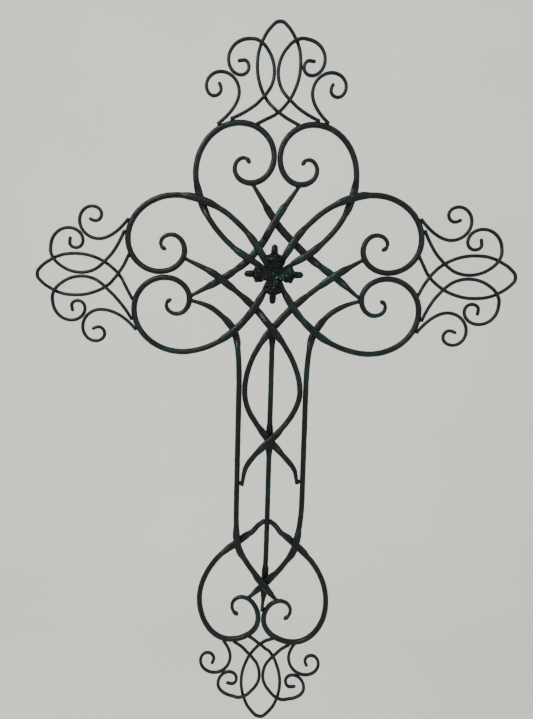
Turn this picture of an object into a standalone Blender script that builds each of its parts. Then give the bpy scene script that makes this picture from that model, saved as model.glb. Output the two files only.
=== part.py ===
"""Wrought iron wall cross of scrolled round bar, with wire finials and a leaf rosette.

The cross lies in the XZ plane with its front towards -Y. Every bar and wire is drawn as a short
row of stations on its centre line, each with the heading of the rod there, and is bent smoothly
from one to the next. The drawing is made round the rosette's centre, and an empty then hangs it
so that the nail under the two top scrolls is the origin.
"""
import math
from collections import namedtuple

import bmesh
import bpy
import numpy as np
from mathutils import Vector

# Reach of the cross, from the rosette's centre
ARM = 0.335            # to the tip of the top and side arms
LEG = 0.667            # to the tip of the foot

# Stock and forging
BAR = 0.008            # round bar of the scrolls, lattice and uprights
WIRE = 0.005           # round wire of the finials
LAP = 0.006            # thickness of a bar forged flat where another crosses it
BAR_END = 0.0052       # a bar drawn down where it butts on a scroll
CURL_END = 0.0045      # a scroll drawn down at the neck of its bud
BUD = 0.0062           # bud at a scroll's tip
BUD_LENGTH = 0.010
END_TAPER = 0.028      # length over which a butting end is drawn down
GAP = 0.0003           # left between two pieces that touch

# Rosette and hanging
PETAL = 0.041          # rosette's centre to a petal's tip
PETAL_THICKNESS = 0.0022
PETAL_CROWN = 0.0065   # height of a petal's back over the rosette's seat
RIVET = 0.0075         # diameter of the rivet's head
NAIL = 0.004           # nail that the cross hangs on

# Mesh fineness
BAR_SIDES, WIRE_SIDES = 8, 6
BAR_SAG, WIRE_SAG = 0.00145, 0.00138   # how far a facet may leave the true curve
FINE_STEPS = 24        # fine steps between stations, before facets are chosen

# Worked out from the sizes above
PITCH = BAR + GAP                     # two bars side by side
WIRE_PITCH = WIRE + GAP               # two wires side by side or crossing
LAP_STEP = (LAP + GAP) / 2            # each bar of a crossing moves this far off the plane
WIRE_STEP = WIRE_PITCH / 2
LAP_WIDTH = BAR ** 2 / LAP            # the flattened bar keeps its section's area
LAP_HALF = 1.25 * LAP_WIDTH           # half the length that stays fully flat
LAP_FADE = 1.4 * LAP_WIDTH            # over this length it turns round again
WIRE_HALF, WIRE_FADE = 1.1 * WIRE, 2.5 * WIRE
REAR = 3                              # the centre upright lies behind both bars of a crossing

AXIS = {"right": 0, "top": 90, "left": 180, "foot": 270}
HAND = {
    ("top", "left"): 1, ("top", "right"): -1,
    ("left", "upper"): -1, ("left", "lower"): 1,
    ("right", "upper"): 1, ("right", "lower"): -1,
    ("foot", "left"): -1, ("foot", "right"): 1,
}

# The cross is set by hand: each arm's turn off true in degrees, and the shares of ARM by which
# a scroll reaches further out, a finial's scrolls stand aside, or its arch does
ARM_TURN = {"left": 1.3, "right": 0.7, "top": 0.0, "foot": 0.0}
SLIP = {("left", "upper"): (0.008, 0.0), ("left", "lower"): (-0.012, 0.0), ("top", "left"): (0.004, 0.008)}
FINIAL_MOVE = {"top": (0.003, 0.013), "foot": (-0.003, -0.007), "left": (0.012, 0.0)}
FINIAL_SHORT = {"foot": 0.022}
ARCH_MOVE = {"top": (0.008, 0.003), "foot": (0.005, -0.009), "left": (0.013, 0.0)}
OUTER_SHORT = {("foot", "right"): 0.016, ("foot", "left"): 0.005}
HEART_ASIDE = -0.015
HEART_CURL_RISE = {"left": 0.014, "right": 0.004}
RAILS_ASIDE = 0.007

# heading is in degrees, level counts steps behind (+) or in front (-) of the plane, and a firm
# station keeps its own ring
Station = namedtuple("Station", "x z heading level firm", defaults=(None, False))


def on_arm(arm, hand, u, v, heading, firm=False, reach=ARM, move=(0.0, 0.0)):
    """A station at shares u outwards and v to the hand's side of an arm, from its tip at reach."""
    axis = math.radians(AXIS[arm] + ARM_TURN[arm])
    along = reach - (1 - u - move[0]) * ARM
    across = (hand * v + move[1]) * ARM
    x = along * math.cos(axis) - across * math.sin(axis)
    z = along * math.sin(axis) + across * math.cos(axis)
    return Station(x, z, math.degrees(axis) + hand * heading, None, firm)


def reversed_run(stations):
    return [s._replace(heading=s.heading + 180) for s in reversed(stations)]


def cubic_handles(p, q):
    """How far the handles of a cubic reach from p and q, for the arc that their headings ask."""
    chord = math.hypot(q.x - p.x, q.z - p.z)
    toward = math.degrees(math.atan2(q.z - p.z, q.x - p.x))
    bend_p = math.radians((toward - p.heading + 180) % 360 - 180)
    bend_q = math.radians((q.heading - toward + 180) % 360 - 180)
    turn = bend_p + bend_q
    if bend_p * bend_q <= 0 or abs(turn) < 0.02:
        return chord / 3, chord / 3
    share = 4 / 3 * math.tan(turn / 4) / math.tan(turn / 2)
    return tuple(chord * math.sin(bend) / math.sin(turn) * share for bend in (bend_q, bend_p))


def direction(degrees):
    return np.array([math.cos(math.radians(degrees)), math.sin(math.radians(degrees))])


def fine_line(stations):
    """Points (x, z) along the rod's centre line, and the index of each station."""
    points, marks = [], [0]
    for p, q in zip(stations, stations[1:]):
        out, back = cubic_handles(p, q)
        start, end = np.array([p.x, p.z]), np.array([q.x, q.z])
        controls = (start, start + out * direction(p.heading), end - back * direction(q.heading), end)
        for step in range(FINE_STEPS):
            t = step / FINE_STEPS
            weights = ((1 - t) ** 3, 3 * t * (1 - t) ** 2, 3 * t * t * (1 - t), t ** 3)
            points.append(sum(w * c for w, c in zip(weights, controls)))
        marks.append(len(points))
    points.append(np.array([stations[-1].x, stations[-1].z]))
    return np.array(points), marks


def ease(share):
    share = min(1.0, max(0.0, share))
    return share * share * (3 - 2 * share)


class Rod:
    """One bar or wire: its bent centre line, its laps and drawn-down ends, and its facets."""

    def __init__(self, name, stations, size=BAR, rest=0.0,
                 ends=(None, None), tapers=(0.0, 0.0), buds=(False, False)):
        self.name, self.size, self.rest = name, size, rest
        self.end_sizes = [size if end is None else end for end in ends]
        self.tapers, self.buds = tapers, buds
        self.line, marks = fine_line(stations)
        steps = np.hypot(*np.diff(self.line, axis=0).T)
        self.run = np.concatenate([[0.0], np.cumsum(steps)])
        self.start, self.end = 0.0, float(self.run[-1])
        sag = WIRE_SAG if size == WIRE else BAR_SAG
        heading = np.unwrap(np.arctan2(*np.diff(self.line, axis=0).T[::-1]))
        turns = np.abs(np.diff(heading, prepend=heading[0]))
        self.bend = np.concatenate([[0.0], np.cumsum(np.sqrt(turns * steps / (8 * sag)))])
        self.stations = [(float(self.run[mark]), s) for mark, s in zip(marks, stations)]
        self.laps, self.contacts = [], []
        self.wire = size == WIRE
        self.step = WIRE_STEP if self.wire else LAP_STEP
        self.half, self.fade = (WIRE_HALF, WIRE_FADE) if self.wire else (LAP_HALF, LAP_FADE)
        self.rings = []

    def flat_point(self, s):
        return np.array([np.interp(s, self.run, self.line[:, axis]) for axis in (0, 1)])

    def along(self, s):
        """The unit direction of the centre line in the plane."""
        reach = self.size / 8
        ahead, behind = min(s + reach, self.run[-1]), max(s - reach, 0.0)
        run = self.flat_point(ahead) - self.flat_point(behind)
        return run / np.hypot(*run)

    def pull(self, s, mark):
        return 1 - ease((abs(s - mark) - self.half) / self.fade)

    def depth(self, s):
        """How far the centre line stands behind the plane."""
        pulls = [(self.pull(s, mark), level) for mark, level in self.laps]
        pulls += [(self.pull(s, mark), at.level) for mark, at in self.stations if at.level is not None]
        total = max(1.0, sum(weight for weight, _ in pulls))
        return (self.rest + sum(w * (level - self.rest) for w, level in pulls) / total) * self.step

    def flatness(self, s):
        return 0.0 if self.wire else min(1.0, sum(self.pull(s, mark) for mark, _ in self.laps))

    def diameter(self, s):
        size = self.size
        for which, place in enumerate((s - self.start, self.end - s)):
            end, taper = self.end_sizes[which], self.tapers[which]
            if taper and place < taper:
                size = min(size, end + (self.size - end) * max(0.0, place) / taper)
            if self.buds[which] and place < BUD_LENGTH:
                size = float(np.interp(place / BUD_LENGTH, (0, 0.25, 0.6, 1), (BUD / 2, BUD, BUD, end)))
        return size

    def halves(self, s):
        """Half the width in the plane, and half the thickness across it."""
        size, flat = self.diameter(s), self.flatness(s)
        return (size + (LAP_WIDTH - BAR) * flat) / 2, (size + (LAP - BAR) * flat) / 2

    def centre(self, s):
        x, z = self.flat_point(s)
        return np.array([x, self.depth(s), z])

    def stops(self):
        """Places along the rod that need a ring of their own."""
        firm, loose = {self.start, self.end}, set()
        firm.update(mark for mark, at in self.stations if at.firm)
        firm.update(self.contacts)
        for mark in [mark for mark, _ in self.laps] + [m for m, at in self.stations if at.level is not None]:
            firm.update((mark - self.half, mark + self.half))
            loose.update((mark - self.half - self.fade, mark + self.half + self.fade))
        for which, end in enumerate((self.start, self.end)):
            inward = 1 if which == 0 else -1
            loose.add(end + inward * self.tapers[which])
            if self.buds[which]:
                firm.update(end + inward * share * BUD_LENGTH for share in (0.25, 0.6, 1))
        kept = sorted(stop for stop in firm if self.start <= stop <= self.end)
        for stop in sorted(loose):
            if self.start < stop < self.end and min(abs(stop - other) for other in kept) > self.size:
                kept.append(stop)
        return sorted(kept)

    def facet(self):
        """Chooses the rings: as few as keep each facet close to the curve."""
        places = []
        stops = self.stops()
        for a, b in zip(stops, stops[1:]):
            bent = np.interp((a, b), self.run, self.bend)
            count = max(1, math.ceil(bent[1] - bent[0] - 0.35))
            places += [float(np.interp(bent[0] + (bent[1] - bent[0]) * i / count, self.bend, self.run))
                       for i in range(1, count)] + [b]
        places.insert(0, stops[0])
        self.rings = [(self.centre(s), self.along(s), *self.halves(s)) for s in places]
        return self

    def clearance(self, points):
        """How far the nearest of some points lies outside the rod's faceted surface."""
        centres = np.array([ring[0] for ring in self.rings])
        wide, deep = (np.array([ring[i] for ring in self.rings]) for i in (2, 3))
        a, span = centres[:-1], np.diff(centres, axis=0)
        best = math.inf
        for point in points:
            share = np.clip(((point - a) * span).sum(axis=1) / (span * span).sum(axis=1), 0, 1)
            apart = point - (a + share[:, None] * span)
            distance = np.maximum(np.linalg.norm(apart, axis=1), 1e-9)
            half_width = wide[:-1] + share * np.diff(wide)
            half_depth = deep[:-1] + share * np.diff(deep)
            lean = (apart[:, 1] / distance) ** 2
            surface = 1 / np.sqrt((1 - lean) / half_width ** 2 + lean / half_depth ** 2)
            best = min(best, float((distance - surface).min()))
        return best

    def trim(self, which, others):
        """Cuts an end (0 the start, 1 the end) back until it just clears the rods that it butts on."""
        outward = -1 if which == 0 else 1
        limit = (self.start, self.end)[which]
        end_size, taper = self.end_sizes[which], self.tapers[which]

        def free(s):
            points = []
            for back in (0.0, 0.6, 1.2, 1.8):
                place = s - outward * back * self.size
                width = end_size
                if taper:
                    width = min(self.size, end_size + (self.size - end_size) * back * self.size / taper)
                x, z = self.along(place)
                across, deep = np.array([-z, 0.0, x]), np.array([0.0, 1.0, 0.0])
                for k in range(8):
                    angle = math.pi * k / 4
                    spoke = across * math.cos(angle) + deep * math.sin(angle)
                    points.append(self.centre(place) + spoke * width / 2)
            return min(other.clearance(points) for other in others) - GAP

        high = limit - outward * 6 * self.size
        while free(high) <= 0:
            high -= outward * self.size
        low = high
        while outward * (limit - high) > 0 and free(high) > 0:
            low, high = high, high + outward * 0.25 * self.size
        for _ in range(14):
            middle = (low + high) / 2
            low, high = (middle, high) if free(middle) > 0 else (low, middle)
        if which == 0:
            self.start = low
        else:
            self.end = low
        return self.facet()


def crossings(rod_a, rod_b):
    """Places (along a, along b) where two centre lines cross, or where one crosses itself."""
    found = []
    span_b = np.diff(rod_b.line, axis=0)
    for i, span_a in enumerate(np.diff(rod_a.line, axis=0)):
        apart = rod_b.line[:-1] - rod_a.line[i]
        across = span_a[0] * span_b[:, 1] - span_a[1] * span_b[:, 0]
        across = np.where(np.abs(across) < 1e-15, 1e-15, across)
        on_a = (apart[:, 0] * span_b[:, 1] - apart[:, 1] * span_b[:, 0]) / across
        on_b = (apart[:, 0] * span_a[1] - apart[:, 1] * span_a[0]) / across
        for j in np.nonzero((on_a >= 0) & (on_a < 1) & (on_b >= 0) & (on_b < 1))[0]:
            s_a = rod_a.run[i] + on_a[j] * (rod_a.run[i + 1] - rod_a.run[i])
            s_b = rod_b.run[j] + on_b[j] * (rod_b.run[j + 1] - rod_b.run[j])
            if rod_a is rod_b and s_b - s_a < 8 * rod_a.size:
                continue
            if rod_a.start < s_a < rod_a.end and rod_b.start < s_b < rod_b.end:
                found.append((float(s_a), float(s_b)))
    return found


def lay(front, back, front_level=-1, back_level=1):
    """Laps two rods where they cross, one in front of the other; a level of None leaves a rod alone."""
    for on_front, on_back in crossings(front, back):
        if front_level is not None:
            front.laps.append((on_front, front_level))
        if back_level is not None:
            back.laps.append((on_back, back_level))


def closest(rod_a, rod_b):
    """The least distance between two centre lines past their first stations, and its two places."""
    apart = rod_a.line[FINE_STEPS:, None, :] - rod_b.line[None, FINE_STEPS:, :]
    distances = np.sqrt((apart ** 2).sum(axis=2))
    i, j = np.unravel_index(distances.argmin(), distances.shape)
    return float(distances[i, j]), float(rod_a.run[FINE_STEPS + i]), float(rod_b.run[FINE_STEPS + j])


def curl_length(stations):
    """Length of the last three bends, over which a curl is drawn down."""
    points, _ = fine_line(stations[-4:])
    return float(np.hypot(*np.diff(points, axis=0).T).sum())


# Stations below are shares of ARM. A scroll leaves the rosette's centre and curls in at the arm's axis.
SCROLL = [
    (0.0000, 0.0000, 59.2), (0.0815, 0.1355, 56.5), (0.1730, 0.2355, 41.0), (0.3110, 0.3110, 17.0),
    (0.4010, 0.3260, 0.0), (0.6050, 0.1470, -90.0), (0.4720, None, -180.0), (0.3670, 0.1000, -270.0),
    (0.4225, 0.1650, -360.0), (0.4665, 0.1290, -450.0), (0.4430, 0.1080, -560.0),
]
SCROLL_CONTACT = 6


def scroll(arm, side):
    """Stations of a thick scroll from the rosette's centre out to the tip of its curl."""
    out, aside = SLIP.get((arm, side), (0.0, 0.0))
    stations = []
    for i, (u, v, heading) in enumerate(SCROLL):
        weight = min(1.0, u / 0.4)
        across = PITCH / 2 / ARM if i == SCROLL_CONTACT else v + aside * weight
        stations.append(on_arm(arm, HAND[arm, side], u + out * weight, across, heading, i == SCROLL_CONTACT))
    return stations


def through_scroll(name, first, second):
    """One bar from a curl on one arm, through the centre, to a curl on the other."""
    heading = (first[0].heading + 180 + second[0].heading) / 2
    middle = Station(0.0, 0.0, heading)
    taper = curl_length(first)
    return Rod(name, reversed_run(first[1:]) + [middle] + second[1:], ends=(CURL_END, CURL_END),
               tapers=(taper, taper), buds=(True, True))


def top_scroll(side):
    stations = scroll("top", side)
    return Rod("top_scroll_" + side, stations, ends=(BAR_END, CURL_END),
               tapers=(END_TAPER, curl_length(stations)), buds=(False, True))


def butted_bar(name, stations):
    return Rod(name, stations, ends=(BAR_END, BAR_END), tapers=(END_TAPER, END_TAPER))


# Where the front and the rear lattice bars run, as shares of ARM and degrees below level
LATTICE = {
    "front": [(0.0, 0.2185, 61), (0.060, 0.118, 53), (0.109, 0.058, 44), (0.235, -0.033, 31)],
    "rear": [(0.0, 0.2185, 54), (0.084, 0.128, 43), (0.128, 0.088, 39), (0.247, 0.001, 33)],
}


def lattice_bar(place, top_side, arm):
    """From under a top curl, past the rosette, to an arm's lower curl."""
    mirror = -1 if arm == "left" else 1
    start = on_arm("top", HAND["top", top_side], 0.374, 0.103, 0)
    end = on_arm(arm, HAND[arm, "lower"], 0.374, 0.103, 0)
    run = [(start.x, start.z, 57)]
    run += [(mirror * x * ARM, z * ARM, below) for x, z, below in LATTICE[place]]
    run.append((end.x, end.z, 30))
    stations = [Station(x, z, -below if mirror > 0 else 180 + below) for x, z, below in run]
    return butted_bar("lattice_bar_" + place, stations)


def downward(run, mirror):
    """Stations of a bar that leaves an arm inwards: mirror is 1 from the right arm, -1 from the left."""
    return [Station(x, z, 180 + below if mirror > 0 else -below, None, firm) for x, z, below, firm in run]


def rail_x(side):
    """Where a side rail's straight run stands."""
    return (RAILS_ASIDE + (-RAIL if side == "left" else RAIL)) * ARM


RAIL = 0.1425          # half the distance between the rails, as a share of ARM
BELLY = -0.4940        # height at which a wave bar's belly lies against a rail
WAVES_CROSS = (-0.2265, -0.7100)


def wave_bar(name, arm):
    """From an arm's upper curl, across to the far rail and back, down to the near rail."""
    mirror = -1 if arm == "left" else 1
    far, near = ("right", "left") if arm == "left" else ("left", "right")
    belly = rail_x(far) + (PITCH if far == "left" else -PITCH)
    start = on_arm(arm, HAND[arm, "upper"], 0.381, 0.071, 0)
    foot = rail_x(near)
    run = [
        (start.x, start.z, 29, False),
        (mirror * 0.2350 * ARM, -0.0130 * ARM, 36, False),
        (mirror * 0.0815 * ARM, -0.1360 * ARM, 42, False),
        (0.0, WAVES_CROSS[0] * ARM, 49, False),
        (belly, BELLY * ARM, 90, True),
        (belly * 0.69, -0.6070 * ARM, 123, False),
        (0.0, WAVES_CROSS[1] * ARM, 136, False),
        (foot - mirror * 0.0360 * ARM, -0.8360 * ARM, 111, False),
        (foot - mirror * 0.0200 * ARM, -0.9300 * ARM, 97, False),
    ]
    return butted_bar(name, downward(run, mirror))


def on_leg(share):
    """A height on the lower leg: shares of ARM for a leg of 1.99 arms, kept at its distance from the tip."""
    return (share + 1.99) * ARM - LEG


def side_rail(side):
    """From an arm's lower curl, down the leg, over the heart and the other rail, to the far heart's curl."""
    mirror = -1 if side == "left" else 1
    start = on_arm(side, HAND[side, "lower"], 0.381, 0.103, 0)
    rail = rail_x(side)
    heart = HEART_ASIDE * ARM
    run = [
        (start.x, start.z, 8, False),
        (mirror * 0.2420 * ARM, -0.1560 * ARM, 37, False),
        (rail + mirror * 0.0290 * ARM, -0.2360 * ARM, 58, False),
        (rail, BELLY * ARM, 90, True),
        (rail, on_leg(-0.9700), 90, False),
        (mirror * 0.1270 * ARM, on_leg(-1.1715), 77, False),
        (-0.003 * ARM, on_leg(-1.3600), 47, False),
        (heart - mirror * 0.0800 * ARM, on_leg(-1.4440), 46, False),
    ]
    return butted_bar("side_rail_" + side, downward(run, mirror))


HEART = [
    (0.2050, -1.2400, 50), (0.2810, -1.4340, 90), (0.1420, -1.6220, 180), (None, -1.5210, 270),
    (0.0870, -1.4355, 360), (0.1300, -1.4780, 450), (0.1000, -1.5150, 550),
]
HEART_CONTACT = 3
HEART_END = 0.0072     # the heart's bars keep nearly their full size where they meet the upright
HEART_LEAN = (0.4, 0.7, 1.0, 1.0, 1.0, 1.0, 1.0)   # share of the heart's shift that each station takes


def heart_scroll(side):
    """Half of the heart at the foot, from the upright out and round to its curl."""
    contact = PITCH / 2 / ARM
    axis = HEART_ASIDE * ARM
    mirror = -1 if side == "left" else 1
    run = [
        Station(0.0, on_leg(-1.0680), -36 if mirror > 0 else 216, REAR),
        Station(mirror * 0.1270 * ARM, on_leg(-1.1715), -41 if mirror > 0 else 221),
    ]
    for i, (x, z, heading) in enumerate(HEART):
        place = HEART_LEAN[i] * axis + mirror * (contact if i == HEART_CONTACT else x) * ARM
        z += HEART_CURL_RISE[side] if i > HEART_CONTACT else 0.0
        turned = -heading if mirror > 0 else 180 + heading
        run.append(Station(place, on_leg(z), turned, None, i == HEART_CONTACT))
    return Rod("foot_scroll_" + side, run, ends=(HEART_END, CURL_END),
               tapers=(END_TAPER, curl_length(run)), buds=(False, True))


def centre_upright():
    """Straight bar behind the waves and the rails, its end forged forward between the heart's curls."""
    run = [
        Station(0.0, (WAVES_CROSS[0] + 0.022) * ARM, -90),
        Station(0.0, on_leg(-1.0680), -90, None, True),
        Station(-0.003 * ARM, on_leg(-1.3600), -91, None, True),
        Station(HEART_ASIDE * ARM, on_leg(-1.5250), -94, 0),
    ]
    return Rod("centre_upright", run, rest=REAR, ends=(BAR, BAR_END), tapers=(0.0, END_TAPER))


ARCH = [
    (0.578, -0.118, 58), (0.644, 0.000, 53), (0.702, 0.051, 33), (0.826, 0.087, 0),
    (0.920, 0.070, -26), (0.986, 0.020, -48),
]
INNER = [
    (0.610, 0.205, -70), (0.702, 0.051, -45), (0.803, None, 0), (0.920, 0.070, 60), (0.931, 0.112, 90),
    (0.853, 0.194, 180), (0.792, 0.142, 270), (0.822, 0.111, 360), (0.849, 0.131, 450), (0.845, 0.158, 462),
]
FOOT_REACH = 0.65      # nearer in than this a station is a foot, and stays with the scroll it stands on
OUTER = [
    (0.594, 0.233, -54), (0.724, 0.141, 0), (0.804, 0.216, 90), (0.750, 0.275, 180),
    (0.710, 0.243, 270), (0.736, 0.215, 360), (0.764, 0.226, 395),
]


def finial_arch(arm, reach):
    """The pointed arch of one wire, whose two legs cross near their feet."""
    move = ARCH_MOVE.get(arm, (0.0, 0.0))
    near, far = ([on_arm(arm, hand, *at, reach=reach, move=move) for at in ARCH] for hand in (1, -1))
    apex = on_arm(arm, 1, 1.0 - WIRE / 2 / ARM, 0.0, -90, True, reach, (move[0], move[1] / 3))
    return Rod(arm + "_finial_arch", near + [apex] + reversed_run(far), size=WIRE)


def finial_scroll(arm, side, kind, run, reach, shift=0.0):
    """A wire scroll of a finial, moved away from the arm's axis by shift."""
    move = FINIAL_MOVE.get(arm, (0.0, 0.0))
    slip = SLIP.get((arm, side), (0.0, 0.0))[0]
    short = OUTER_SHORT.get((arm, side), 0.0) if kind == "outer" else 0.0
    stations = []
    for u, v, heading in run:
        across = WIRE_PITCH / 2 / ARM if v is None else v + shift
        out = u - FINIAL_SHORT.get(arm, 0.0) if u > 0.9 else u - short
        if u < FOOT_REACH and arm != "foot":
            out = u + slip - move[0]
        stations.append(on_arm(arm, HAND[arm, side], out, across, heading, v is None, reach, move))
    return Rod("{}_finial_{}_{}".format(arm, kind, side), stations, size=WIRE)


def outer_beside(arm, side, reach, inner):
    """The outer scroll, moved sideways until it and the inner one just touch."""
    near, far = -0.02, 0.03
    for _ in range(12):
        middle = (near + far) / 2
        rod = finial_scroll(arm, side, "outer", OUTER, reach, middle)
        near, far = (middle, far) if closest(rod, inner)[0] < WIRE_PITCH else (near, middle)
    outer = finial_scroll(arm, side, "outer", OUTER, reach, far)
    _, on_outer, on_inner = closest(outer, inner)
    outer.contacts.append(on_outer)
    inner.contacts.append(on_inner)
    return outer


def thick_bars():
    """The scrolls, lattice, waves, rails, heart and upright, butted and lapped on each other."""
    s_front = through_scroll("s_scroll_front", scroll("left", "upper"), scroll("right", "lower"))
    s_rear = through_scroll("s_scroll_rear", scroll("right", "upper"), scroll("left", "lower"))
    lay(s_front, s_rear)
    arm_scrolls = [s_front.facet(), s_rear.facet()]
    top_left, top_right = (top_scroll(side).trim(0, arm_scrolls) for side in ("left", "right"))
    scrolls = arm_scrolls + [top_left, top_right]

    lattice_front = lattice_bar("front", "right", "left").trim(0, scrolls).trim(1, scrolls)
    lattice_rear = lattice_bar("rear", "left", "right").trim(0, scrolls).trim(1, scrolls)
    upright = centre_upright().facet()
    hearts = [heart_scroll(side).trim(0, [upright]) for side in ("left", "right")]
    upright.trim(1, hearts)
    rail_left, rail_right = (side_rail(side).trim(0, scrolls).trim(1, hearts) for side in ("left", "right"))
    rails = [rail_left, rail_right]
    wave_front = wave_bar("wave_bar_front", "left").trim(0, scrolls).trim(1, rails)
    wave_rear = wave_bar("wave_bar_rear", "right").trim(0, scrolls).trim(1, rails)

    for front, back in (
        (s_front, top_left), (s_rear, top_right), (s_front, lattice_front), (s_rear, lattice_rear),
        (top_left, lattice_front), (top_right, lattice_rear), (lattice_front, lattice_rear),
        (wave_front, lattice_front), (wave_rear, lattice_rear), (s_rear, wave_front), (s_front, wave_rear),
        (wave_front, wave_rear), (s_rear, rail_left), (s_front, rail_right),
        (rail_left, hearts[0]), (rail_right, hearts[1]), (rail_left, rail_right),
    ):
        lay(front, back)
    for front in (wave_front, rail_left):
        lay(front, upright, None, REAR)
    bars = scrolls + [lattice_front, lattice_rear, wave_front, wave_rear, upright] + rails + hearts
    return [bar.facet() for bar in bars]


def finial_wires(arm, carriers):
    """The five wires of one finial, standing on the scrolls that carry it."""
    reach = LEG if arm == "foot" else ARM
    arch = finial_arch(arm, reach)
    wires = [arch.trim(0, carriers).trim(1, carriers)]
    lay(arch, arch)
    for side in [side for place, side in HAND if place == arm]:
        inner = finial_scroll(arm, side, "inner", INNER, reach)
        outer = outer_beside(arm, side, reach, inner)
        inner.trim(0, carriers)
        wires += [inner, outer.trim(0, carriers + [inner])]
        lay(inner, arch)
    return [wire.facet() for wire in wires]


def material(name, colour, roughness, metallic):
    made = bpy.data.materials.new(name)
    made.use_nodes = True
    shader = made.node_tree.nodes["Principled BSDF"]
    shader.inputs["Base Color"].default_value = (*colour, 1)
    shader.inputs["Roughness"].default_value = roughness
    shader.inputs["Metallic"].default_value = metallic
    made.diffuse_color = (*colour, 1)
    return made


def object_from(name, mesh_maker, finish, parent):
    """A mesh object from a function that fills a bmesh."""
    shape = bmesh.new()
    mesh_maker(shape)
    bmesh.ops.recalc_face_normals(shape, faces=shape.faces)
    mesh = bpy.data.meshes.new(name)
    shape.to_mesh(mesh)
    shape.free()
    mesh.shade_smooth()
    mesh.set_sharp_from_angle(angle=math.radians(60))
    mesh.materials.append(finish)
    made = bpy.data.objects.new(name, mesh)
    bpy.context.collection.objects.link(made)
    made.parent = parent
    return made


def skin_rod(shape, rod):
    """Joins the rod's rings with faces and closes both ends."""
    sides = WIRE_SIDES if rod.wire else BAR_SIDES
    centres = [ring[0] for ring in rod.rings]
    angles = [2 * math.pi * k / sides for k in range(sides)]
    tallest = max(math.sin(angle) for angle in angles)
    rows = []
    for i, (centre, along, wide, deep) in enumerate(rod.rings):
        before, after = centres[max(0, i - 1)], centres[min(len(centres) - 1, i + 1)]
        rise = (after - before)[1] / np.linalg.norm((after - before)[[0, 2]])
        forward = Vector((along[0], rise, along[1])).normalized()
        across = Vector((-along[1], 0.0, along[0]))
        outward = forward.cross(across)
        row = []
        for angle in angles:
            spoke = across * (wide * math.cos(angle)) + outward * (deep / tallest * math.sin(angle))
            row.append(shape.verts.new(Vector(centre) + spoke))
        rows.append(row)
    bridge(shape, rows)
    shape.faces.new(rows[0])
    shape.faces.new(rows[-1])


# One half of a petal's outline, from the notch to the tip: angle off its axis and share of PETAL
PETAL_OUTLINE = [
    (45, 0.24), (38, 0.36), (33, 0.53), (28, 0.64), (21, 0.69), (13, 0.68), (9, 0.80), (5.5, 0.95), (0, 1.0),
]
HUB = 0.0056           # radius of the flat that the rivet sits on
PETAL_RINGS = (0.0, 0.35, 0.72, 1.0)


def petal_height(radius, off_axis):
    """Height of a petal's back over its seat: a crown, a drooping rim and a groove along the midrib."""
    share = (radius - HUB) / (PETAL - HUB)
    crown = ease(share / 0.42) * (1 - 0.75 * ease((share - 0.5) / 0.5))
    groove = 0.16 * math.exp(-(off_axis / 5.0) ** 2) * ease(share / 0.3)
    return PETAL_CROWN * (crown - groove)


def petal_points():
    """Angle, angle off the petal's axis and reach of each point round the four petals."""
    points = []
    for quarter in range(4):
        half = [(90 * quarter - off_axis, off_axis, reach) for off_axis, reach in PETAL_OUTLINE]
        back = [(90 * quarter + off_axis, off_axis, reach) for off_axis, reach in PETAL_OUTLINE[-2:0:-1]]
        points += half + back
    return [(math.radians(angle), off_axis, reach * PETAL) for angle, off_axis, reach in points]


def bridge(shape, rows):
    """Faces between each row of points and the next, where the rows are closed rings."""
    for a, b in zip(rows, rows[1:]):
        for k in range(len(a)):
            m = (k + 1) % len(a)
            shape.faces.new((a[k], a[m], b[m], b[k]))


def petals(shape):
    """Four leaf petals in one casting, seated on the front scroll where the bars cross."""
    seat = -(LAP_STEP + LAP / 2 + GAP)

    def ring(share, lift):
        row = []
        for angle, off_axis, reach in petal_points():
            radius = HUB + (reach - HUB) * share
            rise = petal_height(radius, off_axis) + lift
            row.append(shape.verts.new((radius * math.cos(angle), seat - rise, radius * math.sin(angle))))
        return row

    front = [ring(share, PETAL_THICKNESS) for share in PETAL_RINGS]
    back = [ring(share, 0.0) for share in (1.0, 0.35, 0.0)]
    bridge(shape, front + back)
    shape.faces.new(front[0])
    shape.faces.new(back[-1])


def rivet_head(shape):
    """A low dome on the rosette's hub."""
    seat = -(LAP_STEP + LAP / 2 + GAP) - PETAL_THICKNESS - GAP
    sides = 12
    rows = []
    for lean in (0, 30, 60, 82):
        radius = RIVET / 2 * math.cos(math.radians(lean))
        rise = 0.6 * RIVET / 2 * math.sin(math.radians(lean))
        turns = [2 * math.pi * k / sides for k in range(sides)]
        row = [(radius * math.cos(t), seat - rise, radius * math.sin(t)) for t in turns]
        rows.append([shape.verts.new(place) for place in row])
    bridge(shape, rows)
    shape.faces.new(rows[0])
    shape.faces.new(rows[-1])


def nail_height(top_left):
    """Height over the rosette's centre where a nail just fits under the two top scrolls."""
    s = next(mark for mark, at in top_left.stations if at.firm)
    while -top_left.flat_point(s)[0] < (BAR + NAIL) / 2 + GAP:
        s += BAR / 40
    return float(top_left.flat_point(s)[1])


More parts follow.
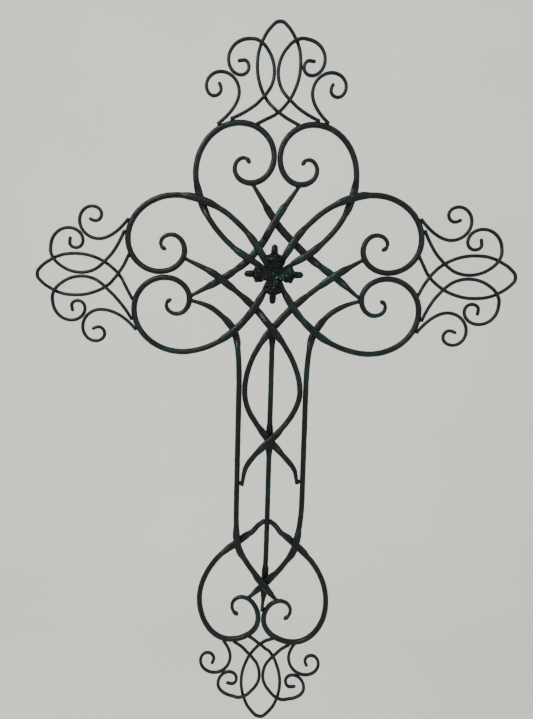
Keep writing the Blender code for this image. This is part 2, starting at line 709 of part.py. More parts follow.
def build():
    for old in list(bpy.data.objects):
        bpy.data.objects.remove(old, do_unlink=True)

    bars = thick_bars()
    named = {bar.name: bar for bar in bars}
    wires = []
    for arm in AXIS:
        stems = ("foot_scroll",) if arm == "foot" else ("s_scroll", "top_scroll")
        wires += finial_wires(arm, [bar for bar in bars if bar.name.startswith(stems)])

    hung = bpy.data.objects.new("rosette_centre", None)
    bpy.context.collection.objects.link(hung)
    hung.location = (0.0, 0.0, -nail_height(named["top_scroll_left"]))

    bar_iron = material("bar_iron", (0.018, 0.022, 0.020), 0.55, 0.7)
    wire_iron = material("wire_iron", (0.020, 0.024, 0.022), 0.55, 0.7)
    for rods, finish in ((bars, bar_iron), (wires, wire_iron)):
        for rod in rods:
            object_from(rod.name, lambda shape, rod=rod: skin_rod(shape, rod), finish, hung)
    object_from("rosette", petals, material("rosette_iron", (0.016, 0.024, 0.022), 0.5, 0.7), hung)
    object_from("rosette_rivet", rivet_head, material("rivet_iron", (0.015, 0.045, 0.035), 0.5, 0.6), hung)


build()
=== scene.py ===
"""Wrought iron wall cross, dressed for its studio picture.

Bends the smooth, hammered bars and wires of a scrolled iron cross over its packed model, welds
them where they meet, casts the leaf rosette at the crossing and sets the stage. The file is laid
out as an add-on: each operator makes one group of like pieces, and main() calls them in order.
"""

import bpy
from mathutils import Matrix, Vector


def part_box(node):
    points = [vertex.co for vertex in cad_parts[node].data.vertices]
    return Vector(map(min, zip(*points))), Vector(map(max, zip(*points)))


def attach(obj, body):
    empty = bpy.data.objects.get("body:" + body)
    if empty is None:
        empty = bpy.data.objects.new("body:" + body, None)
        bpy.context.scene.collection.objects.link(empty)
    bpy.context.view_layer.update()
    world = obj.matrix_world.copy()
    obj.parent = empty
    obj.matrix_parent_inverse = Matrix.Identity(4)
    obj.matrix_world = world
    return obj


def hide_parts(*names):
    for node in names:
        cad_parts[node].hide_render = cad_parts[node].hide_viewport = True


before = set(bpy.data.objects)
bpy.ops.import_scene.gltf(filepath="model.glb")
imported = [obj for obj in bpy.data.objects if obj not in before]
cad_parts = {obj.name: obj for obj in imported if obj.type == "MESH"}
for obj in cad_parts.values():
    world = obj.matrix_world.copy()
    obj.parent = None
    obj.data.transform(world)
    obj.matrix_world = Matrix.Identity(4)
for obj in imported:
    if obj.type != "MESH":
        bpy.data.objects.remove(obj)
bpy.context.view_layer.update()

import functools
import math
from collections import namedtuple

import bmesh
import bpy
import numpy as np
from mathutils import Matrix, Vector

bl_info = {
    "name": "Wrought iron wall cross",
    "version": (1, 0, 0),
    "blender": (4, 5, 0),
    "location": "3D View > Sidebar > Iron Cross",
    "description": "Forges a scrolled wall cross with wire finials and a leaf rosette",
    "category": "Object",
}

# Reach of the cross, from the rosette's centre
ARM = 0.335            # to the tip of the top and side arms
LEG = 0.667            # to the tip of the foot
HUNG = sum(corner[2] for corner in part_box("rosette")) / 2    # height of the rosette's centre

# Stock and forging
BAR = 0.008            # round bar of the scrolls, lattice and uprights
WIRE = 0.005           # round wire of the finials
LAP = 0.006            # thickness of a bar forged flat where another crosses it
BAR_END = 0.0052       # a bar drawn down where it butts on a scroll
CURL_END = 0.0045      # a scroll drawn down at the neck of its bud
BUD = 0.0062           # bud at a scroll's tip
BUD_LENGTH = 0.010
END_TAPER = 0.028      # length over which a butting end is drawn down
GAP = 0.0003           # left between two bars that pass each other
SINK, WIRE_SINK = 0.0036, 0.0024      # how far a welded end runs on into what carries it

# Rosette
PETAL = 0.041          # rosette's centre to a petal's tip
RIVET = 0.0075         # diameter of the rivet's head
HUB = 0.0056           # radius of the flat that the rivet sits on

# All wires and the upright are kept this much under size on every side, so that their dents stay
# inside the box of the packed model
WIRE_SHY, UPRIGHT_SHY = 0.00005, 0.00012

# Fineness of the lines that the ends are fitted on
BAR_SAG, WIRE_SAG = 0.0008, 0.0006
FINE_STEPS = 24        # fine steps between stations
RING_STEP = 0.0015     # between the rings that a weld looks for its carrier among
FEELERS = (0.0, 0.6, 1.2, 1.8)        # places back from an end, in rod sizes, that have to clear
HALVINGS = 14          # rounds in which an end's place is narrowed down

# Worked out from the sizes above
PITCH = BAR + GAP                     # two bars side by side
WIRE_PITCH = WIRE + GAP               # two wires side by side or crossing
LAP_STEP = (LAP + GAP) / 2            # each bar of a crossing moves this far off the plane
WIRE_STEP = WIRE_PITCH / 2
LAP_WIDTH = BAR ** 2 / LAP            # the flattened bar keeps its section's area
LAP_HALF = 1.25 * LAP_WIDTH           # half the length that stays fully flat
LAP_FADE = 1.4 * LAP_WIDTH            # over this length it turns round again
WIRE_HALF, WIRE_FADE = 1.1 * WIRE, 2.5 * WIRE
REAR = 3                              # the centre upright lies behind both bars of a crossing

AXIS = {"right": 0, "top": 90, "left": 180, "foot": 270}
HAND = {
    ("top", "left"): 1, ("top", "right"): -1,
    ("left", "upper"): -1, ("left", "lower"): 1,
    ("right", "upper"): 1, ("right", "lower"): -1,
    ("foot", "left"): -1, ("foot", "right"): 1,
}

# The cross's settings, given one by one: each arm's turn off true in degrees, and the shares of ARM by
# which a scroll reaches further out, a finial's scrolls stand aside, or its arch does
ARM_TURN = {"left": 1.3, "right": 0.7, "top": 0.0, "foot": 0.0}
SLIP = {("left", "upper"): (0.008, 0.0), ("left", "lower"): (-0.012, 0.0), ("top", "left"): (0.004, 0.008)}
FINIAL_MOVE = {"top": (0.003, 0.013), "foot": (-0.003, -0.007), "left": (0.012, 0.0)}
FINIAL_SHORT = {"foot": 0.022}
ARCH_MOVE = {"top": (0.008, 0.003), "foot": (0.005, -0.009), "left": (0.013, 0.0)}
OUTER_SHORT = {("foot", "right"): 0.016, ("foot", "left"): 0.005}
HEART_ASIDE = -0.015
HEART_CURL_RISE = {"left": 0.014, "right": 0.004}
RAILS_ASIDE = 0.007

# heading is in degrees, level counts steps behind (+) or in front (-) of the plane, and a firm
# station keeps its own ring
Station = namedtuple("Station", "x z heading level firm", defaults=(None, False))


def on_arm(arm, hand, u, v, heading, firm=False, reach=ARM, move=(0.0, 0.0)):
    """A station at shares u outwards and v to the hand's side of an arm, from its tip at reach."""
    axis = math.radians(AXIS[arm] + ARM_TURN[arm])
    along = reach - (1 - u - move[0]) * ARM
    across = (hand * v + move[1]) * ARM
    x = along * math.cos(axis) - across * math.sin(axis)
    z = along * math.sin(axis) + across * math.cos(axis)
    return Station(x, z, math.degrees(axis) + hand * heading, None, firm)


def reversed_run(stations):
    return [s._replace(heading=s.heading + 180) for s in reversed(stations)]


def cubic_handles(p, q):
    """How far the handles of a cubic reach from p and q, for the arc that their headings ask."""
    chord = math.hypot(q.x - p.x, q.z - p.z)
    toward = math.degrees(math.atan2(q.z - p.z, q.x - p.x))
    bend_p = math.radians((toward - p.heading + 180) % 360 - 180)
    bend_q = math.radians((q.heading - toward + 180) % 360 - 180)
    turn = bend_p + bend_q
    if bend_p * bend_q <= 0 or abs(turn) < 0.02:
        return chord / 3, chord / 3
    share = 4 / 3 * math.tan(turn / 4) / math.tan(turn / 2)
    return tuple(chord * math.sin(bend) / math.sin(turn) * share for bend in (bend_q, bend_p))


def direction(degrees):
    return np.array([math.cos(math.radians(degrees)), math.sin(math.radians(degrees))])


def fine_line(stations):
    """Points (x, z) along the rod's centre line, and the index of each station."""
    points, marks = [], [0]
    for p, q in zip(stations, stations[1:]):
        out, back = cubic_handles(p, q)
        start, end = np.array([p.x, p.z]), np.array([q.x, q.z])
        controls = (start, start + out * direction(p.heading), end - back * direction(q.heading), end)
        for step in range(FINE_STEPS):
            t = step / FINE_STEPS
            weights = ((1 - t) ** 3, 3 * t * (1 - t) ** 2, 3 * t * t * (1 - t), t ** 3)
            points.append(sum(w * c for w, c in zip(weights, controls)))
        marks.append(len(points))
    points.append(np.array([stations[-1].x, stations[-1].z]))
    return np.array(points), marks


def ease(share):
    share = min(1.0, max(0.0, share))
    return share * share * (3 - 2 * share)


class Rod:
    """One bar or wire: its bent centre line, its laps and drawn-down ends, and its facets."""

    def __init__(self, name, stations, size=BAR, rest=0.0,
                 ends=(None, None), tapers=(0.0, 0.0), buds=(False, False)):
        self.name, self.size, self.rest = name, size, rest
        self.end_sizes = [size if end is None else end for end in ends]
        self.tapers, self.buds = tapers, buds
        self.line, marks = fine_line(stations)
        steps = np.hypot(*np.diff(self.line, axis=0).T)
        self.run = np.concatenate([[0.0], np.cumsum(steps)])
        self.start, self.end = 0.0, float(self.run[-1])
        sag = WIRE_SAG if size == WIRE else BAR_SAG
        heading = np.unwrap(np.arctan2(*np.diff(self.line, axis=0).T[::-1]))
        turns = np.abs(np.diff(heading, prepend=heading[0]))
        self.bend = np.concatenate([[0.0], np.cumsum(np.sqrt(turns * steps / (8 * sag)))])
        self.stations = [(float(self.run[mark]), s) for mark, s in zip(marks, stations)]
        self.laps, self.contacts, self.butts, self.carriers = [], [], [], []
        self.wire = size == WIRE
        self.step = WIRE_STEP if self.wire else LAP_STEP
        self.half, self.fade = (WIRE_HALF, WIRE_FADE) if self.wire else (LAP_HALF, LAP_FADE)
        self.rings = []

    def flat_point(self, s):
        return np.array([np.interp(s, self.run, self.line[:, axis]) for axis in (0, 1)])

    def along(self, s):
        """The unit direction of the centre line in the plane."""
        reach = self.size / 8
        ahead, behind = min(s + reach, self.run[-1]), max(s - reach, 0.0)
        run = self.flat_point(ahead) - self.flat_point(behind)
        return run / np.hypot(*run)

    def pull(self, s, mark):
        return 1 - ease((abs(s - mark) - self.half) / self.fade)

    def depth(self, s):
        """How far the centre line stands behind the plane."""
        pulls = [(self.pull(s, mark), level) for mark, level in self.laps]
        pulls += [(self.pull(s, mark), at.level) for mark, at in self.stations if at.level is not None]
        total = max(1.0, sum(weight for weight, _ in pulls))
        return (self.rest + sum(w * (level - self.rest) for w, level in pulls) / total) * self.step

    def flatness(self, s):
        return 0.0 if self.wire else min(1.0, sum(self.pull(s, mark) for mark, _ in self.laps))

    def diameter(self, s):
        size = self.size
        for which, place in enumerate((s - self.start, self.end - s)):
            end, taper = self.end_sizes[which], self.tapers[which]
            if taper and place < taper:
                size = min(size, end + (self.size - end) * max(0.0, place) / taper)
            if self.buds[which] and place < BUD_LENGTH:
                size = float(np.interp(place / BUD_LENGTH, (0, 0.25, 0.6, 1), (BUD / 2, BUD, BUD, end)))
        return size

    def halves(self, s):
        """Half the width in the plane, and half the thickness across it."""
        size, flat = self.diameter(s), self.flatness(s)
        return (size + (LAP_WIDTH - BAR) * flat) / 2, (size + (LAP - BAR) * flat) / 2

    def centre(self, s):
        x, z = self.flat_point(s)
        return np.array([x, self.depth(s), z])

    def stops(self):
        """Places along the rod that need a ring of their own."""
        firm, loose = {self.start, self.end}, set()
        firm.update(mark for mark, at in self.stations if at.firm)
        firm.update(self.contacts)
        for mark in [mark for mark, _ in self.laps] + [m for m, at in self.stations if at.level is not None]:
            firm.update((mark - self.half, mark + self.half))
            loose.update((mark - self.half - self.fade, mark + self.half + self.fade))
        for which, end in enumerate((self.start, self.end)):
            inward = 1 if which == 0 else -1
            loose.add(end + inward * self.tapers[which])
            if self.buds[which]:
                firm.update(end + inward * share * BUD_LENGTH for share in (0.25, 0.6, 1))
        kept = sorted(stop for stop in firm if self.start <= stop <= self.end)
        for stop in sorted(loose):
            if self.start < stop < self.end and min(abs(stop - other) for other in kept) > self.size:
                kept.append(stop)
        return sorted(kept)

    def facet(self):
        """Chooses the rings: as few as keep each facet close to the curve."""
        places = []
        stops = self.stops()
        for a, b in zip(stops, stops[1:]):
            bent = np.interp((a, b), self.run, self.bend)
            count = max(1, math.ceil(bent[1] - bent[0] - 0.35))
            places += [float(np.interp(bent[0] + (bent[1] - bent[0]) * i / count, self.bend, self.run))
                       for i in range(1, count)] + [b]
        places.insert(0, stops[0])
        self.rings = [(self.centre(s), self.along(s), *self.halves(s)) for s in places]
        return self

    def clearance(self, points):
        """How far the nearest of some points lies outside the rod's faceted surface."""
        centres = np.array([ring[0] for ring in self.rings])
        wide, deep = (np.array([ring[i] for ring in self.rings]) for i in (2, 3))
        a, span = centres[:-1], np.diff(centres, axis=0)
        best = math.inf
        for point in points:
            share = np.clip(((point - a) * span).sum(axis=1) / (span * span).sum(axis=1), 0, 1)
            apart = point - (a + share[:, None] * span)
            distance = np.maximum(np.linalg.norm(apart, axis=1), 1e-9)
            half_width = wide[:-1] + share * np.diff(wide)
            half_depth = deep[:-1] + share * np.diff(deep)
            lean = (apart[:, 1] / distance) ** 2
            surface = 1 / np.sqrt((1 - lean) / half_width ** 2 + lean / half_depth ** 2)
            best = min(best, float((distance - surface).min()))
        return best

    def trim(self, which, others):
        """Cuts an end (0 the start, 1 the end) back until it just clears the rods that it butts on."""
        outward = -1 if which == 0 else 1
        limit = (self.start, self.end)[which]
        end_size, taper = self.end_sizes[which], self.tapers[which]

        def free(s):
            points = []
            for back in FEELERS:
                place = s - outward * back * self.size
                width = end_size
                if taper:
                    width = min(self.size, end_size + (self.size - end_size) * back * self.size / taper)
                x, z = self.along(place)
                across, deep = np.array([-z, 0.0, x]), np.array([0.0, 1.0, 0.0])
                for k in range(8):
                    angle = math.pi * k / 4
                    spoke = across * math.cos(angle) + deep * math.sin(angle)
                    points.append(self.centre(place) + spoke * width / 2)
            return min(other.clearance(points) for other in others) - GAP

        high = limit - outward * 6 * self.size
        while free(high) <= 0:
            high -= outward * self.size
        low = high
        while outward * (limit - high) > 0 and free(high) > 0:
            low, high = high, high + outward * 0.25 * self.size
        for _ in range(HALVINGS):
            middle = (low + high) / 2
            low, high = (middle, high) if free(middle) > 0 else (low, middle)
        if which == 0:
            self.start = low
        else:
            self.end = low
        self.butts.append(which)
        self.carriers.extend(others)
        return self.facet()

    def skeleton(self, step):
        """Closely set points along the rod, with half its width and half its thickness at each."""
        start, end = self.start, self.end
        sink = WIRE_SINK if self.wire else SINK
        first = start - sink if 0 in self.butts else start
        last = end + sink if 1 in self.butts else end
        first, last = max(first, 0.0), min(last, float(self.run[-1]))
        places = list(np.linspace(first, last, max(4, math.ceil((last - first) / step))))
        for which in (0, 1):
            if which not in self.butts:
                radius = (BUD if self.buds[which] else self.size) / 2
                tip, inward = (first, 1) if which == 0 else (last, -1)
                places = [s for s in places if abs(s - tip) > radius + step / 2]
                places += [tip + inward * radius * (1 - math.cos(math.radians(lean)))
                           for lean in (0, 18, 36, 54, 72, 90)]
        places.sort()
        halves = [self.rounded_halves(s) for s in places]
        return [self.centre(s) for s in places], halves

    def rounded_halves(self, s):
        """The section's halves, rounded off at a bud's tip."""
        wide, deep = self.halves(s)
        for which, place in enumerate((s - self.start, self.end - s)):
            if self.buds[which] and place < BUD_LENGTH:
                ball = math.sqrt(max(0.0, 1 - (1 - min(1.0, place / (BUD / 2))) ** 2))
                neck = 0.5 * self.end_sizes[which]
                body = neck + (BUD / 2 - neck) * (1 - ease((place - 0.55 * BUD_LENGTH) / (0.45 * BUD_LENGTH)))
                wide = deep = max(0.00012, body * ball)
            elif which not in self.butts and place < self.size / 2:
                ball = max(0.05, math.sqrt(max(0.0, 1 - (1 - place / (self.size / 2)) ** 2)))
                wide, deep = wide * ball, deep * ball
        shy = WIRE_SHY if self.wire else UPRIGHT_SHY if self.rest else 0.0
        return max(wide - shy, 0.0001), max(deep - shy, 0.0001)

    @functools.lru_cache(maxsize=None)
    def fine_rings(self):
        return [(self.centre(s), self.along(s), *self.halves(s))
                for s in np.arange(self.start, self.end, RING_STEP)]

    def joints(self):
        """Where the rod's ends are welded: place, direction and size."""
        found = []
        for which in self.butts:
            s = self.start if which == 0 else self.end
            tip = self.centre(s)
            rings = (ring for rod in self.carriers for ring in rod.fine_rings())
            near = ((np.linalg.norm(ring[0] - tip), ring[0], ring[2]) for ring in rings)
            reach, root, wide = min(near, key=lambda found_ring: found_ring[0])
            surface = root + (tip - root) * wide / reach
            place = surface * 0.65 + tip * 0.35
            bead = min(self.end_sizes[which], BAR_END) / 2
            found.append((tuple(place), tuple((tip - root) / reach), bead))
        return found


def crossings(rod_a, rod_b):
    """Places (along a, along b) where two centre lines cross, or where one crosses itself."""
    found = []
    span_b = np.diff(rod_b.line, axis=0)
    for i, span_a in enumerate(np.diff(rod_a.line, axis=0)):
        apart = rod_b.line[:-1] - rod_a.line[i]
        across = span_a[0] * span_b[:, 1] - span_a[1] * span_b[:, 0]
        across = np.where(np.abs(across) < 1e-15, 1e-15, across)
        on_a = (apart[:, 0] * span_b[:, 1] - apart[:, 1] * span_b[:, 0]) / across
        on_b = (apart[:, 0] * span_a[1] - apart[:, 1] * span_a[0]) / across
        for j in np.nonzero((on_a >= 0) & (on_a < 1) & (on_b >= 0) & (on_b < 1))[0]:
            s_a = rod_a.run[i] + on_a[j] * (rod_a.run[i + 1] - rod_a.run[i])
            s_b = rod_b.run[j] + on_b[j] * (rod_b.run[j + 1] - rod_b.run[j])
            if rod_a is rod_b and s_b - s_a < 8 * rod_a.size:
                continue
            if rod_a.start < s_a < rod_a.end and rod_b.start < s_b < rod_b.end:
                found.append((float(s_a), float(s_b)))
    return found


def lay(front, back, front_level=-1, back_level=1):
    """Laps two rods where they cross, one in front of the other; a level of None leaves a rod alone."""
    for on_front, on_back in crossings(front, back):
        if front_level is not None:
            front.laps.append((on_front, front_level))
        if back_level is not None:
            back.laps.append((on_back, back_level))


def closest(rod_a, rod_b):
    """The least distance between two centre lines past their first stations, and its two places."""
    apart = rod_a.line[FINE_STEPS:, None, :] - rod_b.line[None, FINE_STEPS:, :]
    distances = np.sqrt((apart ** 2).sum(axis=2))
    i, j = np.unravel_index(distances.argmin(), distances.shape)
    return float(distances[i, j]), float(rod_a.run[FINE_STEPS + i]), float(rod_b.run[FINE_STEPS + j])


def curl_length(stations):
    """Length of the last three bends, over which a curl is drawn down."""
    points, _ = fine_line(stations[-4:])
    return float(np.hypot(*np.diff(points, axis=0).T).sum())


# Stations below are shares of ARM. A scroll leaves the rosette's centre and curls in at the arm's axis.
SCROLL = [
    (0.0000, 0.0000, 59.2), (0.0815, 0.1355, 56.5), (0.1730, 0.2355, 41.0), (0.3110, 0.3110, 17.0),
    (0.4010, 0.3260, 0.0), (0.6050, 0.1470, -90.0), (0.4720, None, -180.0), (0.3670, 0.1000, -270.0),
    (0.4225, 0.1650, -360.0), (0.4665, 0.1290, -450.0), (0.4430, 0.1080, -560.0),
]
SCROLL_CONTACT = 6


def scroll(arm, side):
    """Stations of a thick scroll from the rosette's centre out to the tip of its curl."""
    out, aside = SLIP.get((arm, side), (0.0, 0.0))
    stations = []
    for i, (u, v, heading) in enumerate(SCROLL):
        weight = min(1.0, u / 0.4)
        across = PITCH / 2 / ARM if i == SCROLL_CONTACT else v + aside * weight
        stations.append(on_arm(arm, HAND[arm, side], u + out * weight, across, heading, i == SCROLL_CONTACT))
    return stations


def through_scroll(name, first, second):
    """One bar from a curl on one arm, through the centre, to a curl on the other."""
    heading = (first[0].heading + 180 + second[0].heading) / 2
    middle = Station(0.0, 0.0, heading)
    taper = curl_length(first)
    return Rod(name, reversed_run(first[1:]) + [middle] + second[1:], ends=(CURL_END, CURL_END),
               tapers=(taper, taper), buds=(True, True))


def top_scroll(side):
    stations = scroll("top", side)
    return Rod("top_scroll_" + side, stations, ends=(BAR_END, CURL_END),
               tapers=(END_TAPER, curl_length(stations)), buds=(False, True))


def butted_bar(name, stations):
    return Rod(name, stations, ends=(BAR_END, BAR_END), tapers=(END_TAPER, END_TAPER))


# Where the front and the rear lattice bars run, as shares of ARM and degrees below level
LATTICE = {
    "front": [(0.0, 0.2185, 61), (0.060, 0.118, 53), (0.109, 0.058, 44), (0.235, -0.033, 31)],
    "rear": [(0.0, 0.2185, 54), (0.084, 0.128, 43), (0.128, 0.088, 39), (0.247, 0.001, 33)],
}


def lattice_bar(place, top_side, arm):
    """From under a top curl, past the rosette, to an arm's lower curl."""
    mirror = -1 if arm == "left" else 1
    start = on_arm("top", HAND["top", top_side], 0.374, 0.103, 0)
    end = on_arm(arm, HAND[arm, "lower"], 0.374, 0.103, 0)
    run = [(start.x, start.z, 57)]
    run += [(mirror * x * ARM, z * ARM, below) for x, z, below in LATTICE[place]]
    run.append((end.x, end.z, 30))
    stations = [Station(x, z, -below if mirror > 0 else 180 + below) for x, z, below in run]
    return butted_bar("lattice_bar_" + place, stations)


def downward(run, mirror):
    """Stations of a bar that leaves an arm inwards: mirror is 1 from the right arm, -1 from the left."""
    return [Station(x, z, 180 + below if mirror > 0 else -below, None, firm) for x, z, below, firm in run]


def rail_x(side):
    """Where a side rail's straight run stands."""
    return (RAILS_ASIDE + (-RAIL if side == "left" else RAIL)) * ARM


RAIL = 0.1425          # half the distance between the rails, as a share of ARM
BELLY = -0.4940        # height at which a wave bar's belly lies against a rail
WAVES_CROSS = (-0.2265, -0.7100)


def wave_bar(name, arm):
    """From an arm's upper curl, across to the far rail and back, down to the near rail."""
    mirror = -1 if arm == "left" else 1
    far, near = ("right", "left") if arm == "left" else ("left", "right")
    belly = rail_x(far) + (PITCH if far == "left" else -PITCH)
    start = on_arm(arm, HAND[arm, "upper"], 0.381, 0.071, 0)
    foot = rail_x(near)
    run = [
        (start.x, start.z, 29, False),
        (mirror * 0.2350 * ARM, -0.0130 * ARM, 36, False),
        (mirror * 0.0815 * ARM, -0.1360 * ARM, 42, False),
        (0.0, WAVES_CROSS[0] * ARM, 49, False),
        (belly, BELLY * ARM, 90, True),
        (belly * 0.69, -0.6070 * ARM, 123, False),
        (0.0, WAVES_CROSS[1] * ARM, 136, False),
        (foot - mirror * 0.0360 * ARM, -0.8360 * ARM, 111, False),
        (foot - mirror * 0.0200 * ARM, -0.9300 * ARM, 97, False),
    ]
    return butted_bar(name, downward(run, mirror))


def on_leg(share):
    """A height on the lower leg: shares of ARM for a leg of 1.99 arms, kept at its distance from the tip."""
    return (share + 1.99) * ARM - LEG


def side_rail(side):
    """From an arm's lower curl, down the leg, over the heart and the other rail, to the far heart's curl."""
    mirror = -1 if side == "left" else 1
    start = on_arm(side, HAND[side, "lower"], 0.381, 0.103, 0)
    rail = rail_x(side)
    heart = HEART_ASIDE * ARM
    run = [
        (start.x, start.z, 8, False),
        (mirror * 0.2420 * ARM, -0.1560 * ARM, 37, False),
        (rail + mirror * 0.0290 * ARM, -0.2360 * ARM, 58, False),
        (rail, BELLY * ARM, 90, True),
        (rail, on_leg(-0.9700), 90, False),
        (mirror * 0.1270 * ARM, on_leg(-1.1715), 77, False),
        (-0.003 * ARM, on_leg(-1.3600), 47, False),
        (heart - mirror * 0.0800 * ARM, on_leg(-1.4440), 46, False),
    ]
    return butted_bar("side_rail_" + side, downward(run, mirror))


HEART = [
    (0.2050, -1.2400, 50), (0.2810, -1.4340, 90), (0.1420, -1.6220, 180), (None, -1.5210, 270),
    (0.0870, -1.4355, 360), (0.1300, -1.4780, 450), (0.1000, -1.5150, 550),
]
HEART_CONTACT = 3
HEART_END = 0.0072     # the heart's bars keep nearly their full size where they meet the upright
HEART_LEAN = (0.4, 0.7, 1.0, 1.0, 1.0, 1.0, 1.0)   # share of the heart's shift that each station takes


def heart_scroll(side):
    """Half of the heart at the foot, from the upright out and round to its curl."""
    contact = PITCH / 2 / ARM
    axis = HEART_ASIDE * ARM
    mirror = -1 if side == "left" else 1
    run = [
        Station(0.0, on_leg(-1.0680), -36 if mirror > 0 else 216, REAR),
        Station(mirror * 0.1270 * ARM, on_leg(-1.1715), -41 if mirror > 0 else 221),
    ]
    for i, (x, z, heading) in enumerate(HEART):
        place = HEART_LEAN[i] * axis + mirror * (contact if i == HEART_CONTACT else x) * ARM
        z += HEART_CURL_RISE[side] if i > HEART_CONTACT else 0.0
        turned = -heading if mirror > 0 else 180 + heading
        run.append(Station(place, on_leg(z), turned, None, i == HEART_CONTACT))
    return Rod("foot_scroll_" + side, run, ends=(HEART_END, CURL_END),
               tapers=(END_TAPER, curl_length(run)), buds=(False, True))


def centre_upright():
    """Straight bar behind the waves and the rails, its end forged forward between the heart's curls."""
    run = [
        Station(0.0, (WAVES_CROSS[0] + 0.022) * ARM, -90),
        Station(0.0, on_leg(-1.0680), -90, None, True),
        Station(-0.003 * ARM, on_leg(-1.3600), -91, None, True),
        Station(HEART_ASIDE * ARM, on_leg(-1.5250), -94, 0),
    ]
    return Rod("centre_upright", run, rest=REAR, ends=(BAR, BAR_END), tapers=(0.0, END_TAPER))


ARCH = [
    (0.578, -0.118, 58), (0.644, 0.000, 53), (0.702, 0.051, 33), (0.826, 0.087, 0),
    (0.920, 0.070, -26), (0.986, 0.020, -48),
]
INNER = [
    (0.610, 0.205, -70), (0.702, 0.051, -45), (0.803, None, 0), (0.920, 0.070, 60), (0.931, 0.112, 90),
    (0.853, 0.194, 180), (0.792, 0.142, 270), (0.822, 0.111, 360), (0.849, 0.131, 450), (0.845, 0.158, 462),
]
FOOT_REACH = 0.65      # nearer in than this a station is a foot, and stays with the scroll it stands on
OUTER = [
    (0.594, 0.233, -54), (0.724, 0.141, 0), (0.804, 0.216, 90), (0.750, 0.275, 180),
    (0.710, 0.243, 270), (0.736, 0.215, 360), (0.764, 0.226, 395),
]


def finial_arch(arm, reach):
    """The pointed arch of one wire, whose two legs cross near their feet."""
    move = ARCH_MOVE.get(arm, (0.0, 0.0))
    near, far = ([on_arm(arm, hand, *at, reach=reach, move=move) for at in ARCH] for hand in (1, -1))
    apex = on_arm(arm, 1, 1.0 - WIRE / 2 / ARM, 0.0, -90, True, reach, (move[0], move[1] / 3))
    return Rod(arm + "_finial_arch", near + [apex] + reversed_run(far), size=WIRE)


def finial_scroll(arm, side, kind, run, reach, shift=0.0):
    """A wire scroll of a finial, moved away from the arm's axis by shift."""
    move = FINIAL_MOVE.get(arm, (0.0, 0.0))
    slip = SLIP.get((arm, side), (0.0, 0.0))[0]
    short = OUTER_SHORT.get((arm, side), 0.0) if kind == "outer" else 0.0
    stations = []
    for u, v, heading in run:
        across = WIRE_PITCH / 2 / ARM if v is None else v + shift
        out = u - FINIAL_SHORT.get(arm, 0.0) if u > 0.9 else u - short
        if u < FOOT_REACH and arm != "foot":
            out = u + slip - move[0]
        stations.append(on_arm(arm, HAND[arm, side], out, across, heading, v is None, reach, move))
    return Rod("{}_finial_{}_{}".format(arm, kind, side), stations, size=WIRE)


def outer_beside(arm, side, reach, inner):
    """The outer scroll, moved sideways until it and the inner one just touch."""
    near, far = -0.02, 0.03
    for _ in range(12):
        middle = (near + far) / 2
        rod = finial_scroll(arm, side, "outer", OUTER, reach, middle)
        near, far = (middle, far) if closest(rod, inner)[0] < WIRE_PITCH else (near, middle)
    outer = finial_scroll(arm, side, "outer", OUTER, reach, far)
    _, on_outer, on_inner = closest(outer, inner)
    outer.contacts.append(on_outer)
    inner.contacts.append(on_inner)
    return outer


def thick_bars():
    """The scrolls, lattice, waves, rails, heart and upright, butted and lapped on each other."""
    s_front = through_scroll("s_scroll_front", scroll("left", "upper"), scroll("right", "lower"))
    s_rear = through_scroll("s_scroll_rear", scroll("right", "upper"), scroll("left", "lower"))
    lay(s_front, s_rear)
    arm_scrolls = [s_front.facet(), s_rear.facet()]
    top_left, top_right = (top_scroll(side).trim(0, arm_scrolls) for side in ("left", "right"))
    scrolls = arm_scrolls + [top_left, top_right]

    lattice_front = lattice_bar("front", "right", "left").trim(0, scrolls).trim(1, scrolls)
    lattice_rear = lattice_bar("rear", "left", "right").trim(0, scrolls).trim(1, scrolls)
    upright = centre_upright().facet()
    hearts = [heart_scroll(side).trim(0, [upright]) for side in ("left", "right")]
    upright.trim(1, hearts)
    rail_left, rail_right = (side_rail(side).trim(0, scrolls).trim(1, hearts) for side in ("left", "right"))
    rails = [rail_left, rail_right]
    wave_front = wave_bar("wave_bar_front", "left").trim(0, scrolls).trim(1, rails)
    wave_rear = wave_bar("wave_bar_rear", "right").trim(0, scrolls).trim(1, rails)

    for front, back in (
        (s_front, top_left), (s_rear, top_right), (s_front, lattice_front), (s_rear, lattice_rear),
        (top_left, lattice_front), (top_right, lattice_rear), (lattice_front, lattice_rear),
        (wave_front, lattice_front), (wave_rear, lattice_rear), (s_rear, wave_front), (s_front, wave_rear),
        (wave_front, wave_rear), (s_rear, rail_left), (s_front, rail_right),
        (rail_left, hearts[0]), (rail_right, hearts[1]), (rail_left, rail_right),
    ):
        lay(front, back)
    for front in (wave_front, rail_left):
        lay(front, upright, None, REAR)
    bars = scrolls + [lattice_front, lattice_rear, wave_front, wave_rear, upright] + rails + hearts
    return [bar.facet() for bar in bars]


def finial_wires(arm, carriers):
    """The five wires of one finial, standing on the scrolls that carry it."""
    reach = LEG if arm == "foot" else ARM
    arch = finial_arch(arm, reach)
    wires = [arch.trim(0, carriers).trim(1, carriers)]
    lay(arch, arch)
    for side in [side for place, side in HAND if place == arm]:
        inner = finial_scroll(arm, side, "inner", INNER, reach)
        outer = outer_beside(arm, side, reach, inner)
        inner.trim(0, carriers)
        wires += [inner, outer.trim(0, carriers + [inner])]
        lay(inner, arch)
    return [wire.facet() for wire in wires]


